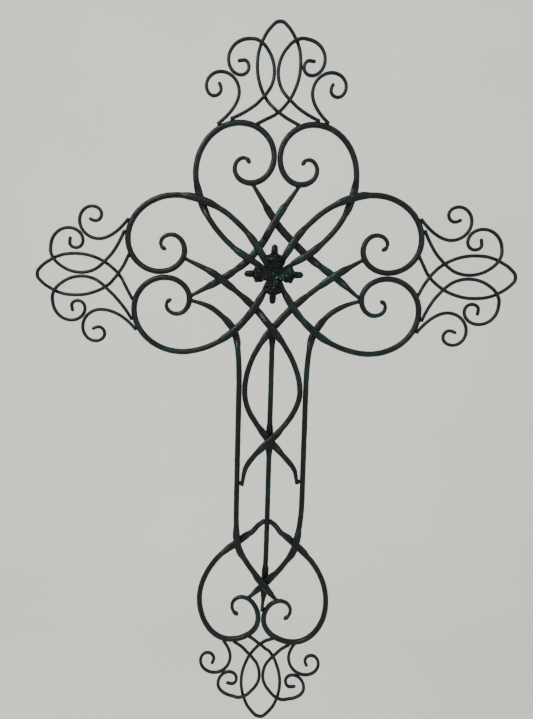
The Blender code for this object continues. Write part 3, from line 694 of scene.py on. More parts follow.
@functools.lru_cache(maxsize=1)
def bent_rods():
    """Every bar and wire of the cross by name, bent, lapped and butted."""
    bars = thick_bars()
    wires = []
    for arm in AXIS:
        stems = ("foot_scroll",) if arm == "foot" else ("s_scroll", "top_scroll")
        wires += finial_wires(arm, [bar for bar in bars if bar.name.startswith(stems)])
    return {rod.name: rod for rod in bars + wires}


# ---- Geometry Nodes -------------------------------------------------------------------------

class NodeTree:
    """A Geometry Nodes tree with named inputs, built a node at a time."""

    def __init__(self, name, inputs):
        self.tree = bpy.data.node_groups.new(name, "GeometryNodeTree")
        face = self.tree.interface
        face.new_socket("Geometry", in_out="INPUT", socket_type="NodeSocketGeometry")
        self.keys = {}
        for label, kind, default in inputs:
            socket = face.new_socket(label, in_out="INPUT", socket_type="NodeSocket" + kind)
            if default is not None:
                socket.default_value = default
            self.keys[label] = socket.identifier
        face.new_socket("Geometry", in_out="OUTPUT", socket_type="NodeSocketGeometry")
        self.entry = self.tree.nodes.new("NodeGroupInput")
        self.exit = self.tree.nodes.new("NodeGroupOutput")

    def given(self, label):
        return self.entry.outputs[label]

    def node(self, kind, links=(), **settings):
        """Adds a node; links maps its input names or places to a socket or a plain value."""
        made = self.tree.nodes.new(kind)
        for key, value in settings.items():
            setattr(made, key, value)
        for key, value in dict(links).items():
            if isinstance(value, bpy.types.NodeSocket):
                self.tree.links.new(value, made.inputs[key])
            else:
                made.inputs[key].default_value = value
        return made

    def math(self, operation, *values):
        return self.node("ShaderNodeMath", dict(enumerate(values)), operation=operation).outputs[0]

    def vector(self, operation, *values):
        links = {("Scale" if operation == "SCALE" and k == 1 else k): value for k, value in enumerate(values)}
        return self.node("ShaderNodeVectorMath", links, operation=operation).outputs["Vector"]

    def end(self, geometry):
        """Realizes, shades and finishes what comes in, as the tree's last nodes."""
        whole = self.node("GeometryNodeRealizeInstances", {"Geometry": geometry})
        smooth = self.node("GeometryNodeSetShadeSmooth", {"Geometry": whole.outputs[0]})
        finish = {"Geometry": smooth.outputs[0], "Material": self.given("Finish")}
        self.tree.links.new(self.node("GeometryNodeSetMaterial", finish).outputs[0], self.exit.inputs[0])
        return self


@functools.lru_cache(maxsize=1)
def forged_rod_tree():
    """A round rod along a line of points, lapped flat across the cross and dented by the hammer."""
    tree = NodeTree("forged_rod", [
        ("Sides", "Int", 20), ("Facet Depth", "Float", 0.0002), ("Facets", "Int", 8),
        ("Dent Depth", "Float", 0.0002), ("Dent Size", "Float", 0.006), ("Seed", "Float", 0.0),
        ("Finish", "Material", None),
    ])
    wide = tree.node("GeometryNodeInputNamedAttribute", {"Name": "half_width"}, data_type="FLOAT")
    deep = tree.node("GeometryNodeInputNamedAttribute", {"Name": "half_depth"}, data_type="FLOAT")
    line = tree.node("GeometryNodeMeshToCurve", {"Mesh": tree.given("Geometry")})
    here = tree.node("GeometryNodeInputPosition").outputs[0]

    middle = tree.node("GeometryNodeCaptureAttribute", {"Geometry": line.outputs[0]})
    middle.capture_items.new("VECTOR", "Centre")
    tree.tree.links.new(here, middle.inputs["Centre"])
    circle = tree.node("GeometryNodeCurvePrimitiveCircle", {"Resolution": tree.given("Sides"), "Radius": 1.0})
    turn = tree.node("GeometryNodeCaptureAttribute", {"Geometry": circle.outputs["Curve"]})
    turn.capture_items.new("FLOAT", "Turn")
    share = tree.node("GeometryNodeSplineParameter")
    tree.tree.links.new(share.outputs["Factor"], turn.inputs["Turn"])
    rod = tree.node("GeometryNodeCurveToMesh", {
        "Curve": middle.outputs["Geometry"], "Profile Curve": turn.outputs["Geometry"],
        "Scale": wide.outputs["Attribute"], "Fill Caps": True,
    })

    # the section: squeezed along Y where the rod is lapped, with shallow flats round it
    centre = middle.outputs["Centre"]
    spoke = tree.vector("SUBTRACT", here, centre)
    width = tree.math("MAXIMUM", wide.outputs["Attribute"], 0.0001)
    squeeze = tree.math("DIVIDE", deep.outputs["Attribute"], width)
    axes = tree.node("ShaderNodeCombineXYZ", {"X": 1.0, "Y": squeeze, "Z": 1.0})
    spoke = tree.vector("MULTIPLY", spoke, axes.outputs[0])
    waves = tree.math("MULTIPLY", turn.outputs["Turn"], tree.given("Facets"))
    waves = tree.math("MULTIPLY", waves, 2 * math.pi)
    flat = tree.math("MULTIPLY", tree.math("COSINE", waves), tree.given("Facet Depth"))
    flat = tree.math("DIVIDE", tree.math("MULTIPLY", flat, 0.5), BAR / 2)
    spoke = tree.vector("SCALE", spoke, tree.math("SUBTRACT", 1.0, flat))
    shaped = tree.node("GeometryNodeSetPosition", {
        "Geometry": rod.outputs["Mesh"], "Position": tree.vector("ADD", centre, spoke),
    })

    # hammer dents: the metal between the blows stands up by as much as the blows sink in
    spot = tree.node("ShaderNodeCombineXYZ", {"X": tree.given("Seed"), "Y": 0.0, "Z": tree.given("Seed")})
    place = tree.vector("ADD", here, spot.outputs[0])
    blows = tree.node("ShaderNodeTexVoronoi", {
        "Vector": place, "Scale": tree.math("DIVIDE", 1.0, tree.given("Dent Size")), "Smoothness": 0.6,
    }, feature="SMOOTH_F1")
    cut = tree.math("SUBTRACT", 0.45, blows.outputs["Distance"])
    cut = tree.math("MULTIPLY", cut, tree.given("Dent Depth"))
    normal = tree.node("GeometryNodeInputNormal").outputs[0]
    dented = tree.node("GeometryNodeSetPosition", {
        "Geometry": shaped.outputs[0],
        "Offset": tree.vector("SCALE", normal, tree.math("MULTIPLY", cut, -1.0)),
    })
    return tree.end(dented.outputs[0])


@functools.lru_cache(maxsize=1)
def weld_tree():
    """A ragged ring of weld beads round each joint; a joint is a point with its axis and size."""
    tree = NodeTree("weld_rings", [
        ("Beads", "Int", 8), ("Bead Size", "Float", 0.5), ("Roughness", "Float", 0.00025),
        ("Seed", "Int", 3), ("Finish", "Material", None),
    ])
    number = tree.node("GeometryNodeInputIndex").outputs[0]
    ring = tree.node("GeometryNodeMeshCircle", {"Vertices": tree.given("Beads"), "Radius": 0.85})
    bead = tree.node("GeometryNodeMeshIcoSphere", {"Radius": tree.given("Bead Size"), "Subdivisions": 3})
    uneven = tree.node("FunctionNodeRandomValue", {
        0: (0.7, 0.7, 0.6), 1: (1.2, 1.2, 1.1), "ID": number, "Seed": tree.given("Seed"),
    }, data_type="FLOAT_VECTOR")
    beads = tree.node("GeometryNodeInstanceOnPoints", {
        "Points": ring.outputs[0], "Instance": bead.outputs["Mesh"], "Scale": uneven.outputs[0],
    })
    core = tree.node("GeometryNodeMeshIcoSphere", {"Radius": 0.95, "Subdivisions": 3})
    both = tree.node("GeometryNodeJoinGeometry")
    tree.tree.links.new(beads.outputs[0], both.inputs[0])
    tree.tree.links.new(core.outputs["Mesh"], both.inputs[0])
    whole = tree.node("GeometryNodeRealizeInstances", {"Geometry": both.outputs[0]})
    axis = tree.node("GeometryNodeInputNamedAttribute", {"Name": "axis"}, data_type="FLOAT_VECTOR")
    size = tree.node("GeometryNodeInputNamedAttribute", {"Name": "size"}, data_type="FLOAT")
    facing = tree.node("FunctionNodeAlignRotationToVector", {"Vector": axis.outputs["Attribute"]}, axis="Z")
    joints = tree.node("GeometryNodeMeshToPoints", {"Mesh": tree.given("Geometry")})
    rings = tree.node("GeometryNodeInstanceOnPoints", {
        "Points": joints.outputs[0], "Instance": whole.outputs[0], "Rotation": facing.outputs[0],
        "Scale": size.outputs["Attribute"],
    })
    spin = tree.node("FunctionNodeRandomValue", {
        2: 0.0, 3: 2 * math.pi, "ID": number, "Seed": tree.given("Seed"),
    }, data_type="FLOAT")
    turned = tree.node("ShaderNodeCombineXYZ", {"Z": spin.outputs[1]})
    rings = tree.node("GeometryNodeRotateInstances", {
        "Instances": rings.outputs[0], "Rotation": turned.outputs[0], "Local Space": True,
    })
    solid = tree.node("GeometryNodeRealizeInstances", {"Geometry": rings.outputs[0]})
    here = tree.node("GeometryNodeInputPosition").outputs[0]
    lumps = tree.node("ShaderNodeTexNoise", {"Vector": here, "Scale": 700.0, "Detail": 2.0})
    lift = tree.math("MULTIPLY", tree.math("SUBTRACT", lumps.outputs[0], 0.5), tree.given("Roughness"))
    normal = tree.node("GeometryNodeInputNormal").outputs[0]
    rough = tree.node("GeometryNodeSetPosition", {
        "Geometry": solid.outputs[0], "Offset": tree.vector("SCALE", normal, lift),
    })
    return tree.end(rough.outputs[0])


@functools.lru_cache(maxsize=1)
def petal_ring_tree():
    """Sets copies of a petal round the hub's axis, each turned a little off true at random."""
    tree = NodeTree("petal_ring", [
        ("Petals", "Int", 4), ("Uneven", "Float", 0.05), ("Seed", "Int", 5), ("Finish", "Material", None),
    ])
    number = tree.node("GeometryNodeInputIndex").outputs[0]
    hub = tree.node("GeometryNodePoints", {"Count": tree.given("Petals")})
    step = tree.math("DIVIDE", 2 * math.pi, tree.given("Petals"))
    least = tree.math("MULTIPLY", tree.given("Uneven"), -1.0)
    stray = tree.node("FunctionNodeRandomValue", {2: least, 3: tree.given("Uneven"), "ID": number,
                                                  "Seed": tree.given("Seed")}, data_type="FLOAT")
    angle = tree.math("ADD", tree.math("MULTIPLY", number, step), stray.outputs[1])
    about = tree.node("FunctionNodeAxisAngleToRotation", {"Axis": (0.0, 1.0, 0.0), "Angle": angle})
    ring = tree.node("GeometryNodeInstanceOnPoints", {
        "Points": hub.outputs[0], "Instance": tree.given("Geometry"), "Rotation": about.outputs[0],
    })
    return tree.end(ring.outputs[0])


def plain_piece(name, points, edges, faces, tree, values, numbers=(), vectors=()):
    """Runs a tree on a small mesh and keeps what it makes as a plain mesh object."""
    mesh = bpy.data.meshes.new(name)
    mesh.from_pydata(points, edges, faces)
    for key, amounts in dict(numbers).items():
        mesh.attributes.new(key, "FLOAT", "POINT").data.foreach_set("value", amounts)
    for key, amounts in dict(vectors).items():
        flat = [part for amount in amounts for part in amount]
        mesh.attributes.new(key, "FLOAT_VECTOR", "POINT").data.foreach_set("vector", flat)
    source = bpy.data.objects.new(name + "_line", mesh)
    bpy.context.collection.objects.link(source)
    worker = source.modifiers.new(tree.tree.name, "NODES")
    worker.node_group = tree.tree
    for label, value in values.items():
        worker[tree.keys[label]] = value
    graph = bpy.context.evaluated_depsgraph_get()
    graph.update()
    made = bpy.data.meshes.new_from_object(source.evaluated_get(graph), depsgraph=graph)
    for key in ("half_width", "half_depth", "axis", "size"):
        if key in made.attributes:
            made.attributes.remove(made.attributes[key])
    bpy.data.objects.remove(source, do_unlink=True)
    if not made.polygons:
        raise RuntimeError(name + " came out empty")
    made.name = name
    piece = bpy.data.objects.new(name, made)
    bpy.context.collection.objects.link(piece)
    return piece


def belongs(piece, slot, *nodes):
    """Rides a finished piece on the cross, in place of the nodes that it stands for."""
    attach(piece, "root")
    if nodes:
        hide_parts(*nodes)
    return piece


# ---- Finishes -------------------------------------------------------------------------------

class Finish:
    """A procedural finish on Object coordinates, built round one Principled shader."""

    def __init__(self, name, metallic, specular=0.5):
        self.material = bpy.data.materials.new(name)
        self.material.use_nodes = True
        self.nodes = self.material.node_tree.nodes
        self.shader = self.nodes["Principled BSDF"]
        self.shader.inputs["Metallic"].default_value = metallic
        self.shader.inputs["Specular IOR Level"].default_value = specular
        self.place = self.nodes.new("ShaderNodeTexCoord").outputs["Object"]

    def link(self, out, to):
        self.material.node_tree.links.new(out, to)

    def noise(self, scale, detail=3.0, roughness=0.55, shift=0.0, stretch=(1.0, 1.0, 1.0)):
        moved = self.nodes.new("ShaderNodeMapping")
        moved.inputs["Location"].default_value = (shift, shift * 0.7, -shift)
        moved.inputs["Scale"].default_value = stretch
        self.link(self.place, moved.inputs["Vector"])
        node = self.nodes.new("ShaderNodeTexNoise")
        for key, value in (("Scale", scale), ("Detail", detail), ("Roughness", roughness)):
            node.inputs[key].default_value = value
        self.link(moved.outputs[0], node.inputs["Vector"])
        return node.outputs[0]

    def dents(self, scale):
        node = self.nodes.new("ShaderNodeTexVoronoi")
        node.feature = "SMOOTH_F1"
        node.inputs["Scale"].default_value = scale
        node.inputs["Smoothness"].default_value = 0.5
        self.link(self.place, node.inputs["Vector"])
        return node.outputs["Distance"]

    def between(self, value, low, high, to_low=0.0, to_high=1.0):
        node = self.nodes.new("ShaderNodeMapRange")
        node.interpolation_type = "SMOOTHSTEP"
        for key, amount in (("From Min", low), ("From Max", high), ("To Min", to_low), ("To Max", to_high)):
            node.inputs[key].default_value = amount
        self.link(value, node.inputs["Value"])
        return node.outputs[0]

    def mix(self, share, first, second, blend="MIX"):
        node = self.nodes.new("ShaderNodeMix")
        node.data_type, node.blend_type = "RGBA", blend
        for key, value in ((0, share), (6, first), (7, second)):
            if isinstance(value, bpy.types.NodeSocket):
                self.link(value, node.inputs[key])
            else:
                node.inputs[key].default_value = value if key == 0 else (*value, 1.0)
        return node.outputs[2]

    def plus(self, first, second, share=1.0):
        node = self.nodes.new("ShaderNodeMath")
        node.operation = "MULTIPLY_ADD"
        self.link(second, node.inputs[0])
        node.inputs[1].default_value = share
        self.link(first, node.inputs[2])
        return node.outputs[0]

    def bump(self, height, depth):
        node = self.nodes.new("ShaderNodeBump")
        node.inputs["Distance"].default_value = depth
        self.link(height, node.inputs["Height"])
        self.link(node.outputs[0], self.shader.inputs["Normal"])


SHEEN_OFF_IRON = 0.24    # the dull skin of old iron throws back little of the room


def iron_finish(name, colours, patch, rough, grain, teal_share=0.5, brown_share=0.5, metallic=0.25):
    """Dark hammered iron: a black ground, green and brown patina in patches, and a fine grain."""
    iron, teal, brown, bright = colours
    f = Finish(name, metallic, SHEEN_OFF_IRON)
    fine = f.noise(grain, 5.0, 0.6, 3.1)
    cloud = f.noise(1 / patch, 4.0, 0.6, 1.7)
    rust = f.noise(1.7 / patch, 4.0, 0.65, 9.3)
    ground = f.mix(f.between(fine, 0.25, 0.8), tuple(0.45 * c for c in iron), tuple(1.5 * c for c in iron))
    browned = f.mix(f.between(rust, 0.66 - 0.3 * brown_share, 0.80 - 0.3 * brown_share), ground, brown)
    greened = f.mix(f.between(cloud, 0.66 - 0.3 * teal_share, 0.78 - 0.3 * teal_share), browned, teal)
    speck = f.between(f.noise(grain * 1.6, 2.0, 0.5, 5.9), 0.70, 0.78, 0.0, 0.7)
    f.link(f.mix(speck, greened, bright), f.shader.inputs["Base Color"])
    f.link(f.between(f.plus(fine, cloud, 0.5), 0.45, 1.05, rough[0], rough[1]), f.shader.inputs["Roughness"])
    height = f.plus(f.dents(0.6 * grain), fine, 0.45)
    f.bump(height, 0.00035)
    return f.material


# ---- Forms ----------------------------------------------------------------------------------

# A wire is drawn smooth, so its facets, dents and their spacing are these shares of a bar's
WIRE_FACETS, WIRE_DENTS, WIRE_DENT_SIZE = 0.1, 0.25, 0.6


def forge(rod, look, finish, slot):
    """Makes one bar or wire of the cross over the node of its name."""
    thin = rod.wire
    places, halves = rod.skeleton(look.wire_step if thin else look.bar_step)
    points = [(x, y, z + HUNG) for x, y, z in places]
    edges = [(k, k + 1) for k in range(len(points) - 1)]
    values = {
        "Sides": look.wire_sides if thin else look.bar_sides,
        "Facet Depth": look.facet_depth * (WIRE_FACETS if thin else 1.0),
        "Dent Depth": look.dent_depth * (WIRE_DENTS if thin else 1.0),
        "Dent Size": look.dent_size * (WIRE_DENT_SIZE if thin else 1.0),
        "Seed": float(sum(map(ord, rod.name)) % 97) * 0.31,
        "Finish": finish,
    }
    numbers = {"half_width": [h[0] for h in halves], "half_depth": [h[1] for h in halves]}
    piece = plain_piece("forged_" + rod.name, points, edges, [], forged_rod_tree(), values, numbers)
    return belongs(piece, slot, rod.name)


def forge_all(names, look, finish, slot):
    rods = bent_rods()
    return [forge(rods[name], look, finish, slot) for name in names]


def weld(name, joints, look, finish, slot):
    """Rings of weld beads at the ends of a group of rods."""
    points = [(x, y, z + HUNG) for (x, y, z), _, _ in joints]
    values = {"Beads": look.weld_beads, "Bead Size": look.weld_bead, "Finish": finish}
    return belongs(plain_piece(name, points, [], [], weld_tree(), values,
                               {"size": [size for _, _, size in joints]},
                               {"axis": [axis for _, axis, _ in joints]}), slot)


# Half the width of a petal along its length, in metres from the rosette's centre
PETAL_EDGE = [
    (0.0050, 0.0049), (0.0070, 0.0069), (0.0116, 0.0092), (0.0182, 0.0114), (0.0232, 0.0120),
    (0.0262, 0.0108), (0.0276, 0.0070), (0.0290, 0.0047), (0.0325, 0.0049), (0.0375, 0.0042),
]
PETAL_NOTCHES = (0.0070, 0.0130, 0.0200, 0.0275)       # ends of the lobes along a petal
PETAL_START, TIP_START, TIP_RUN = 0.0050, 0.0380, 0.0030
PETAL_ROWS, TIP_ROWS, PETAL_COLUMNS = 84, 14, 39
TIP_CENTRE = 0.0368      # centre of the rounding of a petal's tip
TIP_HALF = 0.0044        # half the width of the tip at that centre
SEAT = -(LAP_STEP + LAP / 2 + GAP)      # the rosette sits on the front scroll here
CROWN = 0.0064           # rise of a petal's back over its thickness
LEAF = 0.0021            # thickness of the casting


def petal_width(x, look):
    """Half the width at x: three scalloped lobes a side, then a thumb-like tip."""
    if x > TIP_CENTRE:
        share = (x - TIP_CENTRE) / (PETAL - TIP_CENTRE)
        return max(0.0001, TIP_HALF * math.sqrt(max(0.0, 1 - share ** 2)))
    width = float(np.interp(x, *zip(*PETAL_EDGE)))
    for near, far in zip(PETAL_NOTCHES, PETAL_NOTCHES[1:]):
        if near <= x < far:
            swell = math.sin(math.pi * ((x - near) / (far - near)) ** 1.3) ** 0.6
            width += look.scallop * (swell - 0.75)
    return width


def petal_lift(x, across, look):
    """Height of a petal's back over its seat: across runs from -1 to 1 over the width."""
    radius = math.hypot(x, across * petal_width(x, look))
    share = max(0.0, (radius - HUB) / (PETAL - HUB))
    side = abs(across)
    body = ease(share / 0.42) * (1 - 0.75 * ease((share - 0.5) / 0.5))
    lift = LEAF + CROWN * body * (1 - 0.28 * side ** 2) - 0.0010 * side ** 8
    midrib = math.exp(-(across / 0.10) ** 2)
    grooves = 0.0
    for near, far in zip(PETAL_NOTCHES, PETAL_NOTCHES[1:]):
        meets = far - 0.0070 * (1 - side)
        grooves = max(grooves, math.exp(-((x - meets) / 0.0010) ** 2) * ease((side - 0.12) / 0.35))
        middle = (near + far) / 2 - 0.0045 * (1 - side)
        grooves = max(grooves, 0.45 * math.exp(-((x - middle) / 0.0007) ** 2) * ease((side - 0.2) / 0.4))
    fade = ease((x - 0.009) / 0.006) * (1 - ease((x - 0.0275) / 0.002))
    lift -= look.vein_depth * (grooves + 0.6 * midrib) * fade
    collar = math.exp(-((x - 0.0300) / 0.0013) ** 2)
    waist = math.exp(-((x - 0.0274) / 0.0011) ** 2)
    lift += look.collar * (collar - 0.8 * waist) * (1 - 0.5 * side ** 2)
    thumb = ease((x - 0.0290) / 0.003)
    return lift - thumb * 0.0014 * side ** 3


def petal_mesh(look):
    """A closed leaf along +X: its front, its hollow back and the rim that joins them."""
    tip = TIP_START + TIP_RUN * np.sin(np.linspace(0.1, 1.555, TIP_ROWS))
    reach = np.concatenate([np.linspace(PETAL_START, TIP_START, PETAL_ROWS), tip])
    sides = np.sin(np.linspace(-math.pi / 2, math.pi / 2, PETAL_COLUMNS))
    points, faces = [], []
    for back in (0, 1):
        for x in reach:
            for across in sides:
                edge = petal_width(x, look)
                lift = petal_lift(x, across, look)
                if back:
                    lift = max(0.0, lift - LEAF * (1 - 0.55 * abs(across) ** 6))
                points.append((x, SEAT - lift, across * edge))
    rows, columns = len(reach), len(sides)
    for back in (0, 1):
        base = back * rows * columns
        for i in range(rows - 1):
            for j in range(columns - 1):
                a = base + i * columns + j
                quad = (a, a + 1, a + columns + 1, a + columns)
                faces.append(quad if back else quad[::-1])
    rim = [(0, j) for j in range(columns)] + [(i, columns - 1) for i in range(1, rows)]
    rim += [(rows - 1, j) for j in range(columns - 2, -1, -1)] + [(i, 0) for i in range(rows - 2, 0, -1)]
    for (i, j), (m, n) in zip(rim, rim[1:] + rim[:1]):
        a, b = i * columns + j, m * columns + n
        faces.append((a, b, b + rows * columns, a + rows * columns))
    return points, faces


def turned(name, profile, sides, finish, waver=0.0):
    """A closed round piece about the rosette's axis, from (radius, height over the seat) pairs."""
    shape = bmesh.new()
    rows = []
    for radius, lift in profile:
        row = []
        for k in range(sides):
            angle = 2 * math.pi * k / sides
            uneven = waver * (math.sin(3 * angle + 90 * lift * 10) + 0.6 * math.sin(7 * angle + 1.3)) * radius
            reach = radius + uneven
            x, z = reach * math.cos(angle), reach * math.sin(angle) + HUNG
            row.append(shape.verts.new((x, SEAT - lift, z)))
        rows.append(row)
    for a, b in zip(rows, rows[1:]):
        for k in range(sides):
            m = (k + 1) % sides
            shape.faces.new((a[k], a[m], b[m], b[k]))
    shape.faces.new(rows[0])
    shape.faces.new(rows[-1])
    bmesh.ops.recalc_face_normals(shape, faces=shape.faces)
    mesh = bpy.data.meshes.new(name)
    shape.to_mesh(mesh)
    shape.free()
    mesh.shade_smooth()
    mesh.materials.append(finish)
    piece = bpy.data.objects.new(name, mesh)
    bpy.context.collection.objects.link(piece)
    return piece


# Profiles of the dished cup round the rivet, and of the rivet's low dome
CUP = [
    (0.0004, 0.00235), (0.0030, 0.00235), (0.0044, 0.00242), (0.0054, 0.0026), (0.0063, 0.0031),
    (0.0070, 0.0036), (0.0075, 0.0037), (0.0079, 0.0033), (0.0080, 0.0027), (0.0078, 0.0020),
    (0.0066, 0.0016), (0.0004, 0.0016),
]


def dome_profile():
    height = 0.6 * RIVET / 2
    leans = [math.radians(lean) for lean in (0, 12, 24, 36, 48, 60, 72, 82, 88)]
    return [(0.0030, 0.00240), (0.0036, 0.00246)] + [
        (RIVET / 2 * math.cos(lean), 0.0025 + height * math.sin(lean)) for lean in leans]


# ---- Settings -------------------------------------------------------------------------------

def length_setting(name, description, default, low, high):
    return bpy.props.FloatProperty(name=name, description=description, default=default, min=low, max=high,
                                   subtype="DISTANCE", unit="LENGTH", precision=5)


def colour_setting(name, description, default):
    return bpy.props.FloatVectorProperty(name=name, description=description, default=default, size=3,
                                         min=0.0, max=1.0, subtype="COLOR")


def count_setting(name, description, default, low, high):
    return bpy.props.IntProperty(name=name, description=description, default=default, min=low, max=high)


def power_setting(name, description, default):
    return bpy.props.FloatProperty(name=name, description=description, default=default, min=0.0, max=500.0,
                                   subtype="POWER", unit="POWER")


def share_setting(name, description, default, high=1.0):
    return bpy.props.FloatProperty(name=name, description=description, default=default, min=0.0, max=high,
                                   subtype="FACTOR")


class IRONCROSS_PG_forge(bpy.types.PropertyGroup):
    """How the bars and wires are hammered and welded."""
    bar_step: length_setting("Bar step", "Distance between rings along a bar", 0.0014, 0.0005, 0.01)
    wire_step: length_setting("Wire step", "Distance between rings along a wire", 0.0010, 0.0004, 0.01)
    bar_sides: count_setting("Bar sides", "Faces round a bar", 20, 8, 48)
    wire_sides: count_setting("Wire sides", "Faces round a wire", 12, 6, 32)
    facet_depth: length_setting("Facets", "Depth of the flats left along a bar", 0.00026, 0.0, 0.001)
    dent_depth: length_setting("Dent depth", "Depth of the hammer's dents", 0.00045, 0.0, 0.002)
    dent_size: length_setting("Dent size", "Distance from one hammer dent to the next", 0.0072, 0.002, 0.03)
    weld_beads: count_setting("Weld beads", "Beads round a joint", 8, 3, 20)
    weld_bead: share_setting("Bead size", "Radius of a bead as a share of the joined end's radius", 0.52, 2.0)


class IRONCROSS_PG_patina(bpy.types.PropertyGroup):
    """Colours of the iron and of what has grown on it."""
    iron: colour_setting("Iron", "Ground colour of the dark iron", (0.0045, 0.0062, 0.0060))
    teal: colour_setting("Green patina", "Blue-green patches", (0.0024, 0.0160, 0.0145))
    brown: colour_setting("Brown patina", "Rusty brown patches", (0.0120, 0.0098, 0.0082))
    bright: colour_setting("Bright specks", "Grains where the iron is rubbed", (0.120, 0.130, 0.115))
    green_share: share_setting("Green share", "How much of the bars the green covers", 0.52)
    brown_share: share_setting("Brown share", "How much of the bars the brown covers", 0.26)
    patch: length_setting("Patch size", "Distance from one patch to the next", 0.036, 0.005, 0.2)
    smooth: share_setting("Smoothest", "Roughness where the iron is rubbed", 0.28)
    dull: share_setting("Dullest", "Roughness where the iron is dull", 0.48)


class IRONCROSS_PG_rosette(bpy.types.PropertyGroup):
    """Modelling of the leaf rosette."""
    scallop: length_setting("Scallops", "How far a petal's lobes stand out", 0.0013, 0.0, 0.004)
    vein_depth: length_setting("Veins", "Depth of the grooves between a petal's lobes", 0.0021, 0.0, 0.003)
    collar: length_setting("Collar", "Height of the ridge at the foot of a petal's tip", 0.0015, 0.0, 0.003)
    uneven: bpy.props.FloatProperty(name="Uneven", description="How far a petal may be turned off true",
                                    default=0.02, min=0.0, max=0.3, subtype="ANGLE", unit="ROTATION")


class IRONCROSS_PG_studio(bpy.types.PropertyGroup):
    """The pale stage and its soft light."""
    paper: colour_setting("Paper", "Colour of the backdrop and the floor", (0.80, 0.805, 0.765))
    key: power_setting("Key light", "Power of the large soft light", 85.0)
    fill: power_setting("Fill light", "Power of the light across from it", 16.0)
    sky: bpy.props.FloatProperty(name="Room light", description="Strength of the even light all round",
                                 default=1.15, min=0.0, max=5.0)


# ---- Finishes of the cross ------------------------------------------------------------------

def cross_finish(kind):
    """The finish of bars, wires, welds, rosette or rivet, made once and then shared."""
    known = bpy.data.materials.get("forged_" + kind)
    if known:
        return known
    look = bpy.context.scene.iron_patina
    colours = [tuple(c) for c in (look.iron, look.teal, look.brown, look.bright)]
    rough = (look.dull, look.smooth)
    name = "forged_" + kind
    green, brown = look.green_share, look.brown_share
    if kind == "bar":
        return iron_finish(name, colours, look.patch, rough, 620.0, green, brown)
    if kind == "wire":
        return iron_finish(name, colours, 0.7 * look.patch, rough, 900.0, green, 0.8 * brown)
    if kind == "weld":
        return iron_finish(name, colours, 0.5 * look.patch, (0.62, 0.42), 1100.0, 0.3, 0.6)
    if kind == "rosette":
        return iron_finish(name, colours, 0.5 * look.patch, (0.38, 0.15), 700.0, 0.42, 0.25, 0.55)
    if kind == "rivet":
        return iron_finish(name, colours, 0.3 * look.patch, (0.50, 0.30), 1000.0, 1.0, 0.2, 0.6)
    raise ValueError("no finish is named " + kind)


def paper_finish(colour):
    """Matt pale paper with a faint tooth and cloudiness."""
    f = Finish("studio_paper", 0.0, 0.2)
    cloud = f.noise(1.3, 3.0, 0.5, 2.0)
    tone = f.mix(f.between(cloud, 0.3, 0.7), tuple(0.96 * c for c in colour), colour)
    f.link(tone, f.shader.inputs["Base Color"])
    grain = f.noise(240.0, 4.0, 0.6)
    f.link(f.between(grain, 0.3, 0.7, 0.82, 0.92), f.shader.inputs["Roughness"])
    f.bump(grain, 0.0004)
    return f.material


# ---- Operators ------------------------------------------------------------------------------

class ForgeStep:
    """What the operators that bend rods have in common."""
    bl_options = {"REGISTER", "UNDO"}
    rods = ()
    kind, slot_name = "bar", "bar_iron"

    def execute(self, context):
        forge_all(self.rods, context.scene.iron_forge, cross_finish(self.kind), self.slot_name)
        return {"FINISHED"}


class IRONCROSS_OT_scrolls(ForgeStep, bpy.types.Operator):
    """Bend the two long scrolls of the side arms and the two scrolls of the top arm"""
    bl_idname, bl_label = "ironcross.scrolls", "Bend the scrolls"
    rods = ("s_scroll_front", "s_scroll_rear", "top_scroll_left", "top_scroll_right")


class IRONCROSS_OT_lattice(ForgeStep, bpy.types.Operator):
    """Forge the two straight lattice bars and the two wave bars that cross the middle"""
    bl_idname, bl_label = "ironcross.lattice", "Forge lattice and waves"
    rods = ("lattice_bar_front", "lattice_bar_rear", "wave_bar_front", "wave_bar_rear")


class IRONCROSS_OT_leg(ForgeStep, bpy.types.Operator):
    """Forge the two side rails of the leg and the heart of scrolls at its foot"""
    bl_idname, bl_label = "ironcross.leg", "Forge rails and heart"
    rods = ("side_rail_left", "side_rail_right", "foot_scroll_left", "foot_scroll_right")


class IRONCROSS_OT_upright(ForgeStep, bpy.types.Operator):
    """Forge the straight upright behind the leg"""
    bl_idname, bl_label = "ironcross.upright", "Forge the upright"
    rods = ("centre_upright",)


class IRONCROSS_OT_finials(bpy.types.Operator):
    """Bend the five wires of the finial at each arm's end"""
    bl_idname, bl_label = "ironcross.finials", "Bend the finials"
    bl_options = {"REGISTER", "UNDO"}

    def execute(self, context):
        names = [name for name, rod in bent_rods().items() if rod.wire]
        forge_all(names, context.scene.iron_forge, cross_finish("wire"), "wire_iron")
        return {"FINISHED"}


class IRONCROSS_OT_rosette(bpy.types.Operator):
    """Cast the four leaf petals and the dished cup at the crossing"""
    bl_idname, bl_label = "ironcross.rosette", "Cast the rosette"
    bl_options = {"REGISTER", "UNDO"}

    def execute(self, context):
        look = context.scene.iron_rosette
        finish = cross_finish("rosette")
        points, faces = petal_mesh(look)
        values = {"Petals": 4, "Uneven": look.uneven, "Finish": finish}
        ring = plain_piece("leaf_rosette", points, [], faces, petal_ring_tree(), values)
        ring.data.transform(Matrix.Translation((0.0, 0.0, HUNG)))
        belongs(ring, "rosette_iron", "rosette")
        belongs(turned("rosette_cup", CUP, 64, finish, 0.012), "rosette_iron")
        return {"FINISHED"}


